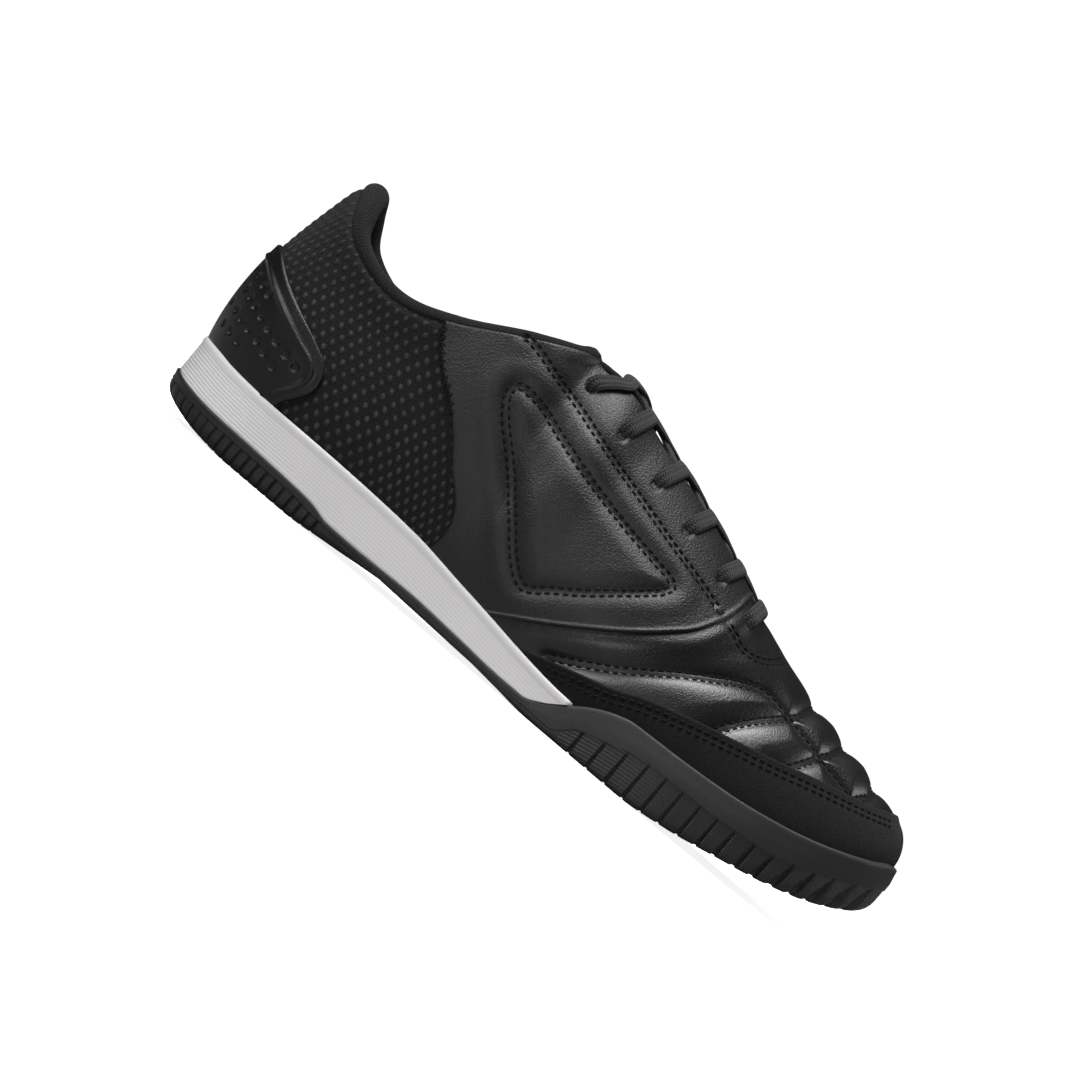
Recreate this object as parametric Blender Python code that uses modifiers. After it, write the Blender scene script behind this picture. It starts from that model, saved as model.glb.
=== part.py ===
"""Indoor football shoe for the right foot, standing on its sole, modelled as a maker assembles it.

The shoe is worked out from one form, the shape of the last. Each station round the sole's edge has a curve
that rises from the feather line, where the upper meets the sole, to the top line: the collar at the back and
the ridge of the instep and toe at the front. Upper, overlays, collar, tongue and laces all lie on that form,
and midsole, outsole and insole follow its feather line.

X runs from heel to toe and Z up, so the outer side of this right shoe is at -Y. Sizes are in metres.
"""

from collections import namedtuple
from math import cos, pi, sin

import bmesh
import bpy
import numpy as np
from mathutils import Matrix, Vector

# Overall sizes of the shoe
LENGTH = 0.290
BALL_WIDTH = 0.104
HEEL_HEIGHT = 0.0985
INSTEP_HEIGHT = 0.105

# Walls and thicknesses
UPPER_WALL = 0.0022
OVERLAY_THICKNESS = 0.0012
COUNTER_THICKNESS = 0.0015
TONGUE_THICKNESS = 0.0040
INSOLE_THICKNESS = 0.0042
COLLAR_PAD = 0.0052
COLLAR_DEPTH = 0.026

# Sole heights above the floor
MIDSOLE_EDGE = 0.0275
TOE_BUMPER = 0.0385
OUTSOLE_HEEL = 0.0140
ARCH_LIFT = 0.0040
HEEL_ROLL = 0.0075
TOE_SPRING = 0.0230

# Plan sizes of the sole
SOLE_OVERHANG = 0.0042
CUP_WALL = 0.0026
RIM_DEPTH = 0.0020
RIM_ROUND = 0.0008

# Tread grooves
HEEL_GROOVE_PITCH = 0.0078
TOE_GROOVE_PITCH = 0.0088
GROOVE_WIDTH = 0.0028
GROOVE_DEPTH = 0.0016

# Throat, eyelets and laces
THROAT_HALF_WIDTH = 0.0135
EYELET_COUNT = 6
EYELET_INSET = 0.0085
EYELET_RADIUS = 0.0021
LACE_WIDTH = 0.0054
LACE_THICKNESS = 0.0015

# Clearances between touching pieces
GAP = 0.0003
OVERLAY_GAP = 0.0005
LACE_GAP = 0.0006

# How finely the curved pieces are drawn
STATIONS = 40
UPPER_ROWS = 9

HALF = BALL_WIDTH / 2

# One row for each station from heel to toe. Lengths along the shoe are shares of LENGTH, widths are shares of
# half the BALL_WIDTH to the outer and inner side of the centre line, and heights are shares of the row's own
# height. The foot columns place the feather line and the low handle, by which the wall leaves it. The top
# columns place the top line, and the hand columns the handle by which the wall arrives there.
Station = namedtuple(
    "Station",
    "name height foot outer inner low_out low_up top top_outer top_inner top_up hand hand_out hand_up",
)
STATION_ROWS = [
    Station("heel_back", HEEL_HEIGHT, 0.017, 0, 0, 0.123, 0.223, 0.041, 0, 0, 1.0, -0.034, 0, -0.244),
    Station("heel_corner", HEEL_HEIGHT, 0.038, 0.365, 0.365, 0.115, 0.203, 0.050, 0.250, 0.250, 0.944, -0.028, 0.096, -0.203),
    Station("heel_side", HEEL_HEIGHT, 0.093, 0.567, 0.567, 0.096, 0.183, 0.074, 0.430, 0.430, 0.843, -0.014, 0.096, -0.183),
    Station("ankle", HEEL_HEIGHT, 0.172, 0.625, 0.615, 0.087, 0.162, 0.138, 0.519, 0.510, 0.770, 0, 0.058, -0.162),
    Station("waist_rear", HEEL_HEIGHT, 0.276, 0.635, 0.558, 0.087, 0.183, 0.228, 0.548, 0.529, 0.832, 0, 0.077, -0.203),
    Station("collar_front", INSTEP_HEIGHT, 0.334, 0.654, 0.519, 0.092, 0.195, 0.303, 0.481, 0.500, 0.895, 0, 0.190, -0.205),
    Station("throat_corner", INSTEP_HEIGHT, 0.372, 0.673, 0.510, 0.095, 0.200, 0.355, 0.288, 0.423, 0.967, 0, 0.320, -0.150),
    Station("ridge_top", INSTEP_HEIGHT, 0.406, 0.695, 0.515, 0.115, 0.248, 0.387, -0.077, 0.077, 0.996, 0, 0.560, 0),
    Station("instep", INSTEP_HEIGHT, 0.483, 0.760, 0.577, 0.106, 0.267, 0.483, -0.096, 0.096, 0.924, 0, 0.580, 0),
    Station("ball_rear", INSTEP_HEIGHT, 0.569, 0.846, 0.721, 0.087, 0.229, 0.579, -0.115, 0.115, 0.833, 0, 0.595, 0),
    Station("ball", INSTEP_HEIGHT, 0.662, 0.900, 0.856, 0.067, 0.190, 0.666, -0.135, 0.135, 0.733, 0, 0.600, 0),
    Station("ball_front", INSTEP_HEIGHT, 0.759, 0.856, 0.875, 0.077, 0.171, 0.741, -0.150, 0.150, 0.638, 0, 0.577, 0),
    Station("toe_side", INSTEP_HEIGHT, 0.848, 0.720, 0.800, 0.096, 0.162, 0.814, -0.163, 0.163, 0.586, 0.014, 0.519, -0.010),
    Station("toe_corner", INSTEP_HEIGHT, 0.924, 0.455, 0.640, 0.125, 0.162, 0.876, -0.173, 0.173, 0.545, 0.038, 0.404, -0.025),
    Station("toe_front", INSTEP_HEIGHT, 0.961, 0.170, 0.440, 0.144, 0.171, 0.876, -0.173, 0.173, 0.545, 0.069, 0.250, -0.044),
    Station("toe_tip", INSTEP_HEIGHT, 0.971, -0.154, 0.154, 0.144, 0.181, 0.876, -0.173, 0.173, 0.545, 0.086, 0, -0.055),
]

# Heights along the sole: (share of LENGTH, share of the height's own size, that size)
TREAD_ROWS = [
    (0.000, 1.00, HEEL_ROLL), (0.034, 0.53, HEEL_ROLL), (0.069, 0.21, HEEL_ROLL), (0.103, 0.07, HEEL_ROLL),
    (0.131, 0.00, HEEL_ROLL), (0.214, 0.00, ARCH_LIFT), (0.276, 0.35, ARCH_LIFT), (0.345, 0.82, ARCH_LIFT),
    (0.386, 1.00, ARCH_LIFT), (0.448, 0.70, ARCH_LIFT), (0.517, 0.30, ARCH_LIFT), (0.569, 0.00, ARCH_LIFT),
    (0.700, 0.00, TOE_SPRING), (0.759, 0.07, TOE_SPRING), (0.793, 0.14, TOE_SPRING), (0.828, 0.22, TOE_SPRING),
    (0.862, 0.30, TOE_SPRING), (0.897, 0.40, TOE_SPRING), (0.931, 0.53, TOE_SPRING), (0.966, 0.74, TOE_SPRING),
    (0.986, 0.98, TOE_SPRING), (1.000, 1.15, TOE_SPRING),
]
WALL_ROWS = [
    (0.000, 1.00, OUTSOLE_HEEL), (0.034, 0.80, OUTSOLE_HEEL), (0.069, 0.72, OUTSOLE_HEEL),
    (0.138, 0.68, OUTSOLE_HEEL), (0.207, 0.62, OUTSOLE_HEEL), (0.234, 0.57, OUTSOLE_HEEL),
    (0.262, 0.44, OUTSOLE_HEEL), (0.310, 0.43, OUTSOLE_HEEL), (0.379, 0.46, OUTSOLE_HEEL),
    (0.448, 0.40, OUTSOLE_HEEL), (0.517, 0.33, OUTSOLE_HEEL), (0.548, 0.33, OUTSOLE_HEEL),
    (0.569, 0.18, TOE_BUMPER), (0.593, 0.30, TOE_BUMPER), (0.617, 0.42, TOE_BUMPER), (0.641, 0.50, TOE_BUMPER),
    (0.662, 0.54, TOE_BUMPER), (0.724, 0.56, TOE_BUMPER), (0.793, 0.60, TOE_BUMPER), (0.862, 0.68, TOE_BUMPER),
    (0.914, 0.78, TOE_BUMPER), (0.966, 0.92, TOE_BUMPER), (0.986, 0.99, TOE_BUMPER), (1.000, 1.00, TOE_BUMPER),
]
BED_ROWS = [
    (0.000, 1.00, OUTSOLE_HEEL), (0.034, 0.80, OUTSOLE_HEEL), (0.069, 0.72, OUTSOLE_HEEL),
    (0.138, 0.68, OUTSOLE_HEEL), (0.207, 0.62, OUTSOLE_HEEL), (0.234, 0.57, OUTSOLE_HEEL),
    (0.262, 0.44, OUTSOLE_HEEL), (0.310, 0.43, OUTSOLE_HEEL), (0.379, 0.46, OUTSOLE_HEEL),
    (0.448, 0.40, OUTSOLE_HEEL), (0.517, 0.33, OUTSOLE_HEEL), (0.690, 0.32, OUTSOLE_HEEL),
    (0.759, 0.26, TOE_SPRING), (0.828, 0.40, TOE_SPRING), (0.897, 0.58, TOE_SPRING), (0.948, 0.82, TOE_SPRING),
    (0.979, 1.04, TOE_SPRING), (1.000, 1.20, TOE_SPRING),
]
RIM_ROWS = [
    (0.000, 1.00, MIDSOLE_EDGE), (0.034, 0.96, MIDSOLE_EDGE), (0.069, 0.91, MIDSOLE_EDGE),
    (0.138, 0.87, MIDSOLE_EDGE), (0.207, 0.86, MIDSOLE_EDGE), (0.276, 0.84, MIDSOLE_EDGE),
    (0.345, 0.80, MIDSOLE_EDGE), (0.414, 0.70, MIDSOLE_EDGE), (0.466, 0.63, MIDSOLE_EDGE),
    (0.517, 0.55, MIDSOLE_EDGE), (0.569, 0.49, MIDSOLE_EDGE), (0.597, 0.475, MIDSOLE_EDGE),
    (0.655, 0.45, MIDSOLE_EDGE), (0.724, 0.45, MIDSOLE_EDGE), (0.793, 0.49, MIDSOLE_EDGE),
    (0.862, 0.60, MIDSOLE_EDGE), (0.914, 0.73, MIDSOLE_EDGE), (0.948, 0.87, MIDSOLE_EDGE),
    (0.979, 1.02, MIDSOLE_EDGE), (1.000, 1.08, MIDSOLE_EDGE),
]

# Roundness of the sole's lower edge by share of the way from heel to toe: (share, plan inset, height), as
# shares of the SOLE_OVERHANG
EDGE_ROWS = [
    (0.00, 2.60, 2.40), (0.08, 1.30, 1.40), (0.16, 0.60, 0.70), (0.30, 0.50, 0.60), (0.60, 0.50, 0.60),
    (0.75, 0.55, 0.70), (0.88, 0.90, 1.00), (0.96, 1.50, 1.60), (1.00, 1.90, 2.00),
]
# How far the sole stands out from the feather line: (share of the way, share of the SOLE_OVERHANG)
OVERHANG_ROWS = [(0.00, 0.68), (0.20, 0.80), (0.45, 0.90), (0.62, 1.05), (0.80, 1.15), (0.90, 1.30), (1.00, 1.72)]

# Edges of the overlays, seen from the side: (share of LENGTH, share of INSTEP_HEIGHT)
COUNTER_TOP = [(-0.02, 0.625), (0.022, 0.615), (0.086, 0.543), (0.138, 0.467), (0.155, 0.420)]
COUNTER_FRONT = [(0.119, 0.200), (0.128, 0.262), (0.145, 0.343), (0.159, 0.400), (0.170, 0.560)]
TOE_OVERLAY_TOP = [
    (0.500, 0.115), (0.552, 0.181), (0.586, 0.205), (0.638, 0.262), (0.690, 0.305), (0.759, 0.357),
    (0.828, 0.410), (0.897, 0.455), (0.945, 0.480), (1.000, 0.486),
]
QUARTER_REAR = [(0.200, 0.800), (0.259, 0.662), (0.310, 0.514), (0.345, 0.400), (0.369, 0.305), (0.372, 0.150)]
QUARTER_FRONT = [(0.440, 0.150), (0.517, 0.238), (0.569, 0.343), (0.621, 0.467), (0.648, 0.552), (0.666, 0.705)]
THROAT_FRONT = 0.732

# Places of the eyelets along the throat, as shares of LENGTH
EYELET_PLACES = [0.393, 0.448, 0.509, 0.568, 0.628, 0.682]

# Finishes: colour, roughness
FINISHES = {
    "black_rubber": ((0.020, 0.020, 0.021), 0.62),
    "white_foam": ((0.80, 0.78, 0.79), 0.70),
    "black_textile": ((0.018, 0.018, 0.020), 0.85),
    "black_leather": ((0.014, 0.014, 0.016), 0.42),
    "black_suede": ((0.012, 0.013, 0.013), 0.95),
    "black_plastic": ((0.016, 0.016, 0.016), 0.38),
    "charcoal_lining": ((0.035, 0.033, 0.035), 0.95),
    "lace_cord": ((0.022, 0.022, 0.022), 0.80),
}


def steady_slopes(places, values):
    """Slopes for a curve through the rows that never swings past them, so that a flat stretch stays flat."""
    steps = np.diff(values) / np.diff(places)
    slopes = np.zeros(len(values))
    inner = steps[:-1] * steps[1:] > 0
    mean = 2 * steps[:-1] * steps[1:] / np.where(inner, steps[:-1] + steps[1:], 1)
    slopes[1:-1] = np.where(inner, mean, 0)
    slopes[0], slopes[-1] = steps[0], steps[-1]
    return slopes


def hermite(places, values, slopes, at):
    """The cubic curve through the rows with those slopes."""
    places, values = np.asarray(places, float), np.asarray(values, float)
    at = np.clip(at, places[0], places[-1])
    i = np.clip(np.searchsorted(places, at, "right") - 1, 0, len(places) - 2)
    span = places[i + 1] - places[i]
    t = (at - places[i]) / span
    rise = (2 * t**3 - 3 * t**2 + 1) * values[i] + (3 * t**2 - 2 * t**3) * values[i + 1]
    lean = (t**3 - 2 * t**2 + t) * slopes[i] + (t**3 - t**2) * slopes[i + 1]
    return rise + lean * span


def height_line(rows):
    """A function that gives the height at a place along the shoe, from rows of (place, share, size)."""
    places = np.array([row[0] for row in rows]) * LENGTH
    heights = np.array([row[1] * row[2] for row in rows])
    slopes = steady_slopes(places, heights)
    return lambda x: hermite(places, heights, slopes, np.asarray(x, float))


def share_line(rows, column=1):
    """A function of the share of the way from heel to toe, from rows whose first column is that share."""
    places = np.array([row[0] for row in rows])
    values = np.array([row[column] for row in rows], float)
    slopes = steady_slopes(places, values)
    return lambda u: hermite(places, values, slopes, np.asarray(u, float))


tread_height = height_line(TREAD_ROWS)
wall_height = height_line(WALL_ROWS)
bed_height = height_line(BED_ROWS)
rim_height = height_line(RIM_ROWS)
overhang_share = share_line(OVERHANG_ROWS)
edge_inset_share = share_line(EDGE_ROWS, 1)
edge_rise_share = share_line(EDGE_ROWS, 2)


def rim_depth(x):
    """Depth of the midsole's rim round the upper. It fades out where the outsole takes over as the cup."""
    return RIM_DEPTH * np.clip((0.575 * LENGTH - np.asarray(x)) / (0.07 * LENGTH), 0, 1)


def feather_height(x):
    """Height of the upper's lower edge, which stands in the midsole's rim."""
    return rim_height(x) - rim_depth(x) + GAP




def station_places():
    """The share of the way round from heel to toe at which each station's row stands, by distance along the
    feather line."""
    outer = np.array([(row.foot * LENGTH, row.outer * HALF) for row in STATION_ROWS])
    inner = np.array([(row.foot * LENGTH, row.inner * HALF) for row in STATION_ROWS])
    steps = np.linalg.norm(np.diff(outer, axis=0), axis=1) + np.linalg.norm(np.diff(inner, axis=0), axis=1)
    return np.concatenate([[0], np.cumsum(steps)]) / steps.sum()


PLACES = station_places()
RIDGE_ROW = [row.name for row in STATION_ROWS].index("ridge_top")
ACROSS = ("outer", "inner", "top_outer", "top_inner", "hand_out")


def column_rail(name, size):
    """Values and slopes of one column of the station rows, in metres. All but the columns that run across the
    shoe level out at heel and toe, where the outer side turns into the inner."""
    values = np.array([getattr(row, name) * (row.height if size is None else size) for row in STATION_ROWS])
    slopes = np.gradient(values, PLACES)
    if name in ("top_outer", "top_inner"):
        slopes[RIDGE_ROW:] = np.gradient(values[RIDGE_ROW:], PLACES[RIDGE_ROW:])
    if name not in ACROSS:
        slopes[0] = slopes[-1] = 0
    return values, slopes


SIZES = {
    "foot": LENGTH, "outer": HALF, "inner": HALF, "low_out": HALF, "low_up": None, "top": LENGTH,
    "top_outer": HALF, "top_inner": HALF, "top_up": None, "hand": LENGTH, "hand_out": HALF, "hand_up": None,
}
RAILS = {name: column_rail(name, size) for name, size in SIZES.items()}


def rail(name, u):
    return hermite(PLACES, *RAILS[name], u)


def split(q):
    """The share of the way from heel to toe, and the sign of the side, for a place q round the shoe: 0 is the
    heel's back, 0 to 1 the outer side, 1 the toe's tip and 1 to 2 the inner side."""
    q = np.mod(np.asarray(q, float), 2.0)
    return np.where(q <= 1, q, 2 - q), np.where(q <= 1, -1.0, 1.0)


def feather(q):
    """Plan position of the feather line, and the plan direction that points out of the shoe there."""
    u, sign = split(q)
    step = 1e-4
    ahead, behind = np.minimum(u + step, 1), np.maximum(u - step, 0)
    half = np.where(sign < 0, rail("outer", u), rail("inner", u))
    run = np.where(sign < 0, rail("outer", ahead) - rail("outer", behind), rail("inner", ahead) - rail("inner", behind))
    along = rail("foot", ahead) - rail("foot", behind)
    across = sign * run
    length = np.hypot(along, across)
    out = np.stack([sign * -across / length, sign * along / length], -1)
    return np.stack([rail("foot", u), sign * half], -1), out


def form(q, v):
    """A point of the form: q runs round the shoe and v from the feather line, 0, to the top line, 1."""
    q, v = np.broadcast_arrays(np.asarray(q, float), np.asarray(v, float))
    u, sign = split(q)
    plan, out = feather(q)
    base = np.concatenate([plan, feather_height(plan[..., 0])[..., None]], -1)
    low_out, low_up = rail("low_out", u), rail("low_up", u)
    low = base + np.stack([out[..., 0] * low_out, out[..., 1] * low_out, low_up], -1)
    half = np.where(sign < 0, rail("top_outer", u), rail("top_inner", u))
    top = np.stack([rail("top", u), sign * half, rail("top_up", u)], -1)
    hand = top + np.stack([rail("hand", u), sign * rail("hand_out", u), rail("hand_up", u)], -1)
    v = v[..., None]
    return (1 - v) ** 3 * base + 3 * v * (1 - v) ** 2 * low + 3 * v**2 * (1 - v) * hand + v**3 * top


def outward(q, v):
    """Unit normal of the form, pointing out of the shoe."""
    step = 1e-3
    v = np.clip(v, step, 1 - step)
    round_shoe = form(np.asarray(q) + step, v) - form(np.asarray(q) - step, v)
    upwards = form(q, v + step) - form(q, v - step)
    normal = np.cross(round_shoe, upwards)
    return normal / np.linalg.norm(normal, axis=-1, keepdims=True)


def lifted(q, v, lift):
    """A point that far outside the form, or inside it where the lift is negative."""
    return form(q, v) + outward(q, v) * np.asarray(lift)[..., None]


FINE = np.linspace(0, 1, 241)


def crossing(q, above, start=0.0):
    """The lowest v past start at which above(points of the station's curve) first turns true, or 1."""
    points = form(q, FINE)
    found = np.nonzero(above(points) & (FINE >= start))[0]
    return FINE[found[0]] if len(found) else 1.0


def edge_curve(rows):
    """A function that gives the height of an overlay's edge at a place along the shoe."""
    places = np.array([row[0] for row in rows]) * LENGTH
    heights = np.array([row[1] for row in rows]) * INSTEP_HEIGHT
    slopes = steady_slopes(places, heights)
    return lambda x: hermite(places, heights, slopes, np.asarray(x, float))


def offset_plan(q, distance):
    """A point in plan, that far outside the feather line."""
    plan, out = feather(q)
    return plan + out * np.asarray(distance)[..., None]


def sole_flare(q):
    """How far the sole's side stands outside the feather line."""
    return float(overhang_share(split(q)[0])) * SOLE_OVERHANG


def sole_top(q):
    """Height of the sole's edge at a place round the shoe: the higher of midsole and outsole."""
    x = offset_plan(q, sole_flare(q))[0]
    return float(max(rim_height(x), wall_height(x)))


def v_at_sole_edge(q):
    """Where an overlay's lower edge comes clear of the sole, on both its faces."""
    top = sole_top(q) + OVERLAY_GAP
    face = lifted(np.full(len(FINE), q), FINE, np.full(len(FINE), OVERLAY_GAP + OVERLAY_THICKNESS))
    return FINE[np.nonzero((face[:, 2] > top) & (form(q, FINE)[:, 2] > top))[0][0]]


def throat_half_width(x):
    """Half the throat's width, which narrows to a round front end."""
    share = np.clip((THROAT_FRONT * LENGTH - x) / (0.32 * LENGTH), 0, 1)
    return THROAT_HALF_WIDTH * (0.30 * share + 0.70 * np.sqrt(np.clip(share * 6, 0, 1)))


def ridge_side(x):
    """How far the ridge of the instep lies to the inner side at that place."""
    order = STATION_ROWS[RIDGE_ROW:RIDGE_ROW + 7]
    return np.interp(x, [row.top * LENGTH for row in order], [row.top_inner * HALF for row in order])


def v_at_throat(q):
    """Where the throat's edge cuts the station's curve: 1 where there is no throat."""
    u, _ = split(q)
    if rail("top", u) >= THROAT_FRONT * LENGTH or rail("top", u) < 0.33 * LENGTH:
        return 1.0
    width = lambda p: np.abs(p[:, 1] - ridge_side(p[:, 0])) < throat_half_width(p[:, 0])
    return crossing(q, width, start=0.4)


def walk(q, v, distance):
    """The v that lies that far down the station's curve from v."""
    vs = np.linspace(v, 0, 200)
    points = form(q, vs)
    run = np.concatenate([[0], np.cumsum(np.linalg.norm(np.diff(points, axis=0), axis=1))])
    return float(np.interp(distance, run, vs))


def u_at_top(x):
    """The share of the way at which the top line reaches a place along the shoe."""
    us = np.linspace(0, 1, 2001)
    tops = rail("top", us)
    return float(us[np.argmax(tops >= x)])


def finish_of(name):
    material = bpy.data.materials.get(name)
    if material is None:
        colour, roughness = FINISHES[name]
        material = bpy.data.materials.new(name)
        material.use_nodes = True
        shader = material.node_tree.nodes["Principled BSDF"]
        shader.inputs["Base Color"].default_value = (*colour, 1)
        shader.inputs["Roughness"].default_value = roughness
        material.diffuse_color = (*colour, 1)
    return material


def clear_scene():
    for obj in list(bpy.data.objects):
        bpy.data.objects.remove(obj)


def collection(name, hidden=False):
    made = bpy.data.collections.new(name)
    made.hide_render = hidden
    bpy.context.scene.collection.children.link(made)
    return made


def add_mesh(name, points, faces, finish):
    """A mesh object from points in the shoe's frame, with points that coincide made one."""
    mesh = bpy.data.meshes.new(name)
    mesh.from_pydata([tuple(p) for p in points], [], faces)
    body = bmesh.new()
    body.from_mesh(mesh)
    bmesh.ops.remove_doubles(body, verts=body.verts, dist=2e-6)
    bmesh.ops.dissolve_degenerate(body, edges=body.edges, dist=2e-6)
    bmesh.ops.recalc_face_normals(body, faces=body.faces)
    body.to_mesh(mesh)
    body.free()
    mesh.materials.append(finish_of(finish))
    obj = bpy.data.objects.new(name, mesh)
    SHOE.objects.link(obj)
    mesh.shade_smooth()
    return obj


def grid_faces(rows, columns, closed_rows=False, closed_columns=False):
    """Quads of a grid of points that is stored row by row."""
    faces = []
    for i in range(rows - (not closed_rows)):
        for j in range(columns - (not closed_columns)):
            k, n = (i + 1) % rows, (j + 1) % columns
            faces.append((i * columns + j, i * columns + n, k * columns + n, k * columns + j))
    return faces


def loft(name, rings, finish, capped=False):
    """A closed solid through rings of equal length. Where the ends aren't capped they narrow to a line."""
    rings = np.asarray(rings, float)
    rows, columns = rings.shape[:2]
    faces = grid_faces(rows, columns, closed_columns=True)
    if capped:
        faces.append(tuple(range(columns))[::-1])
        faces.append(tuple((rows - 1) * columns + j for j in range(columns)))
    return add_mesh(name, rings.reshape(-1, 3), faces, finish)


def sheet(name, grid, thickness, outwards, finish, closed_rows=False):
    """A shell of even thickness from an open grid of points, thickened outwards or inwards."""
    grid = np.asarray(grid, float)
    rows, columns = grid.shape[:2]
    obj = add_mesh(name, grid.reshape(-1, 3), grid_faces(rows, columns, closed_rows), finish)
    face_out(obj)
    shell = obj.modifiers.new("wall", "SOLIDIFY")
    shell.thickness = thickness
    shell.offset = 1 if outwards else -1
    shell.use_even_offset = True
    return obj


def face_out(obj):
    """Turns an open sheet's faces to point away from the inside of the shoe."""
    mesh = obj.data
    middle = Vector((0.5 * LENGTH, 0.0, 0.35 * INSTEP_HEIGHT))
    votes = 0.0
    for face in mesh.polygons:
        away = face.center - Vector((min(max(face.center.x, 0.12 * LENGTH), 0.86 * LENGTH), 0, middle.z))
        votes += face.area * face.normal.dot(away)
    if votes < 0:
        mesh.flip_normals()


def sole_stations():
    """The stations of the sole: the upper's own, and more where the outsole's wall climbs into the cup."""
    base = np.linspace(0, 1, STATIONS + 1)
    middles = (base[:-1] + base[1:]) / 2
    climbing = (rail("foot", middles) > 0.52 * LENGTH) & (rail("foot", middles) < 0.65 * LENGTH)
    return np.sort(np.concatenate([base, middles[climbing]]))


def tread_stations():
    """Stations of the outsole, with the share of a groove's depth at each: one at each groove's bottom, one at
    each of its edges, and the upper's own stations where the tread is plain."""
    us = np.linspace(0, 1, 4001)
    plan = feather(us)[0]
    run = np.concatenate([[0], np.cumsum(np.linalg.norm(np.diff(plan, axis=0), axis=1))])
    heel = np.arange(0.085 * LENGTH, 0.30 * LENGTH, HEEL_GROOVE_PITCH)
    toe = np.arange(0.70 * LENGTH, run[-1] - 0.9 * TOE_GROOVE_PITCH, TOE_GROOVE_PITCH)
    marks = np.concatenate([heel, toe])
    kept = []
    for place in sole_stations():
        if np.min(np.abs(marks - np.interp(place, us, run))) > 0.62 * TOE_GROOVE_PITCH:
            kept.append((float(place), 0.0))
    kept += [(0.0, 0.0), (1.0, 0.0)]
    for mark in marks:
        for shift, depth in ((-0.5, 0.0), (0.0, 1.0), (0.5, 0.0)):
            kept.append((float(np.interp(mark + shift * GROOVE_WIDTH, run, us)), depth))
    return sorted(set(kept))


def cup_top_inside(q):
    """Plan distance from the feather line at which the upper passes the sole's edge, with its gap."""
    plan, out = feather(q)
    top = sole_top(q)
    point = form(q, crossing(q, lambda p: p[:, 2] > top))[:2]
    return float(np.dot(point - plan, out)) + 2.5 * GAP


def is_cup(x):
    """1 where the outsole rises round the upper as a cup, 0 where it lies flat under the midsole."""
    return np.clip((wall_height(x) - bed_height(x)) / 0.003, 0, 1)


SEAT = 0.0010


def outsole_side(u, side, groove):
    """Outline of the outsole's section on one side, from the tread's edge up the side and in to the bed."""
    q = u if side < 0 else 2 - u
    flare = sole_flare(q)
    inset, rise = float(edge_inset_share(u)) * SOLE_OVERHANG, float(edge_rise_share(u)) * SOLE_OVERHANG
    cut = groove * GROOVE_DEPTH
    edge = offset_plan(q, flare - inset - 0.4 * cut)
    low = float(tread_height(edge[0]))
    round_share = 1 - cos(pi / 4)
    corner = offset_plan(q, flare - inset * round_share - cut)
    side_plan = offset_plan(q, flare - cut)
    wall = float(wall_height(side_plan[0]))
    cup = float(is_cup(side_plan[0]))
    side_up = min(low + rise, wall - 0.0012)
    band = side_up + 0.62 * (wall - side_up)
    clear = cup_top_inside(q)
    top_out = flare - cup * max(0.0, flare - clear - CUP_WALL) * 0.6
    inner_top = max(cup * clear, SEAT + 3 * GAP)
    seat = offset_plan(q, SEAT + 1.5 * GAP)
    return [
        (*edge, low + cut),
        (*corner, low + rise * round_share + 0.4 * cut),
        (*side_plan, side_up),
        (*offset_plan(q, flare - cut * 0.8), band),
        (*offset_plan(q, max(top_out, inner_top + 0.0012)), wall),
        (*offset_plan(q, inner_top), wall),
        (*seat, float(bed_height(seat[0]))),
    ]


def make_outsole():
    rings = []
    for u, groove in tread_stations():
        outer, inner = outsole_side(u, -1, groove), outsole_side(u, 1, groove)
        rings.append(outer + inner[::-1])
    return loft("outsole", rings, "black_rubber")


def midsole_side(u, side):
    """Outline of the midsole's section on one side, from its seat on the outsole up to the bed of the upper.
    Where the outsole's cup hides the midsole, its side stays at the seat's width."""
    q = u if side < 0 else 2 - u
    flare = sole_flare(q)
    wall = float(wall_height(offset_plan(q, flare)[0]))
    seen = float(np.clip((rim_height(offset_plan(q, flare)[0]) - RIM_ROUND - wall - 2 * GAP) / 0.001, 0, 1))
    full = SEAT + seen * (flare - SEAT)
    seat = offset_plan(q, SEAT)
    rim = float(rim_height(offset_plan(q, seen * flare)[0]))
    bed = float(bed_height(seat[0])) + GAP
    step = min(wall + 2 * GAP, rim - RIM_ROUND - GAP)
    inside = cup_top_inside(q)
    inset = offset_plan(q, seen * 2 * GAP - (1 - seen) * 2 * RIM_ROUND)
    recess = float(feather_height(inset[0])) - GAP
    return [
        (*seat, bed),
        (*seat, step),
        (*offset_plan(q, full), step),
        (*offset_plan(q, full), rim - RIM_ROUND),
        (*offset_plan(q, full - RIM_ROUND), rim),
        (*offset_plan(q, seen * inside - (1 - seen) * RIM_ROUND), rim),
        (*inset, min(recess, rim)),
    ]


def make_midsole():
    rings = []
    for u in sole_stations():
        outer, inner = midsole_side(float(u), -1), midsole_side(float(u), 1)
        rings.append(outer + inner[::-1])
    return loft("midsole", rings, "white_foam")


def make_insole():
    rings = []
    inset = UPPER_WALL + 3 * GAP
    for u in np.linspace(0, 1, STATIONS // 2 + 1):
        ring = []
        for side in (-1, 1):
            q = float(u) if side < 0 else 2 - float(u)
            plan = offset_plan(q, -inset)
            floor = float(feather_height(plan[0]))
            crown = offset_plan(q, -inset - 0.35 * INSOLE_THICKNESS)
            half = [(*plan, floor), (*plan, floor + 0.6 * INSOLE_THICKNESS), (*crown, floor + INSOLE_THICKNESS)]
            ring = half if side < 0 else ring + half[::-1]
        rings.append(ring)
    return loft("insole", rings, "black_textile")


def upper_stations():
    return np.linspace(0, 1, STATIONS + 1)


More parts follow.
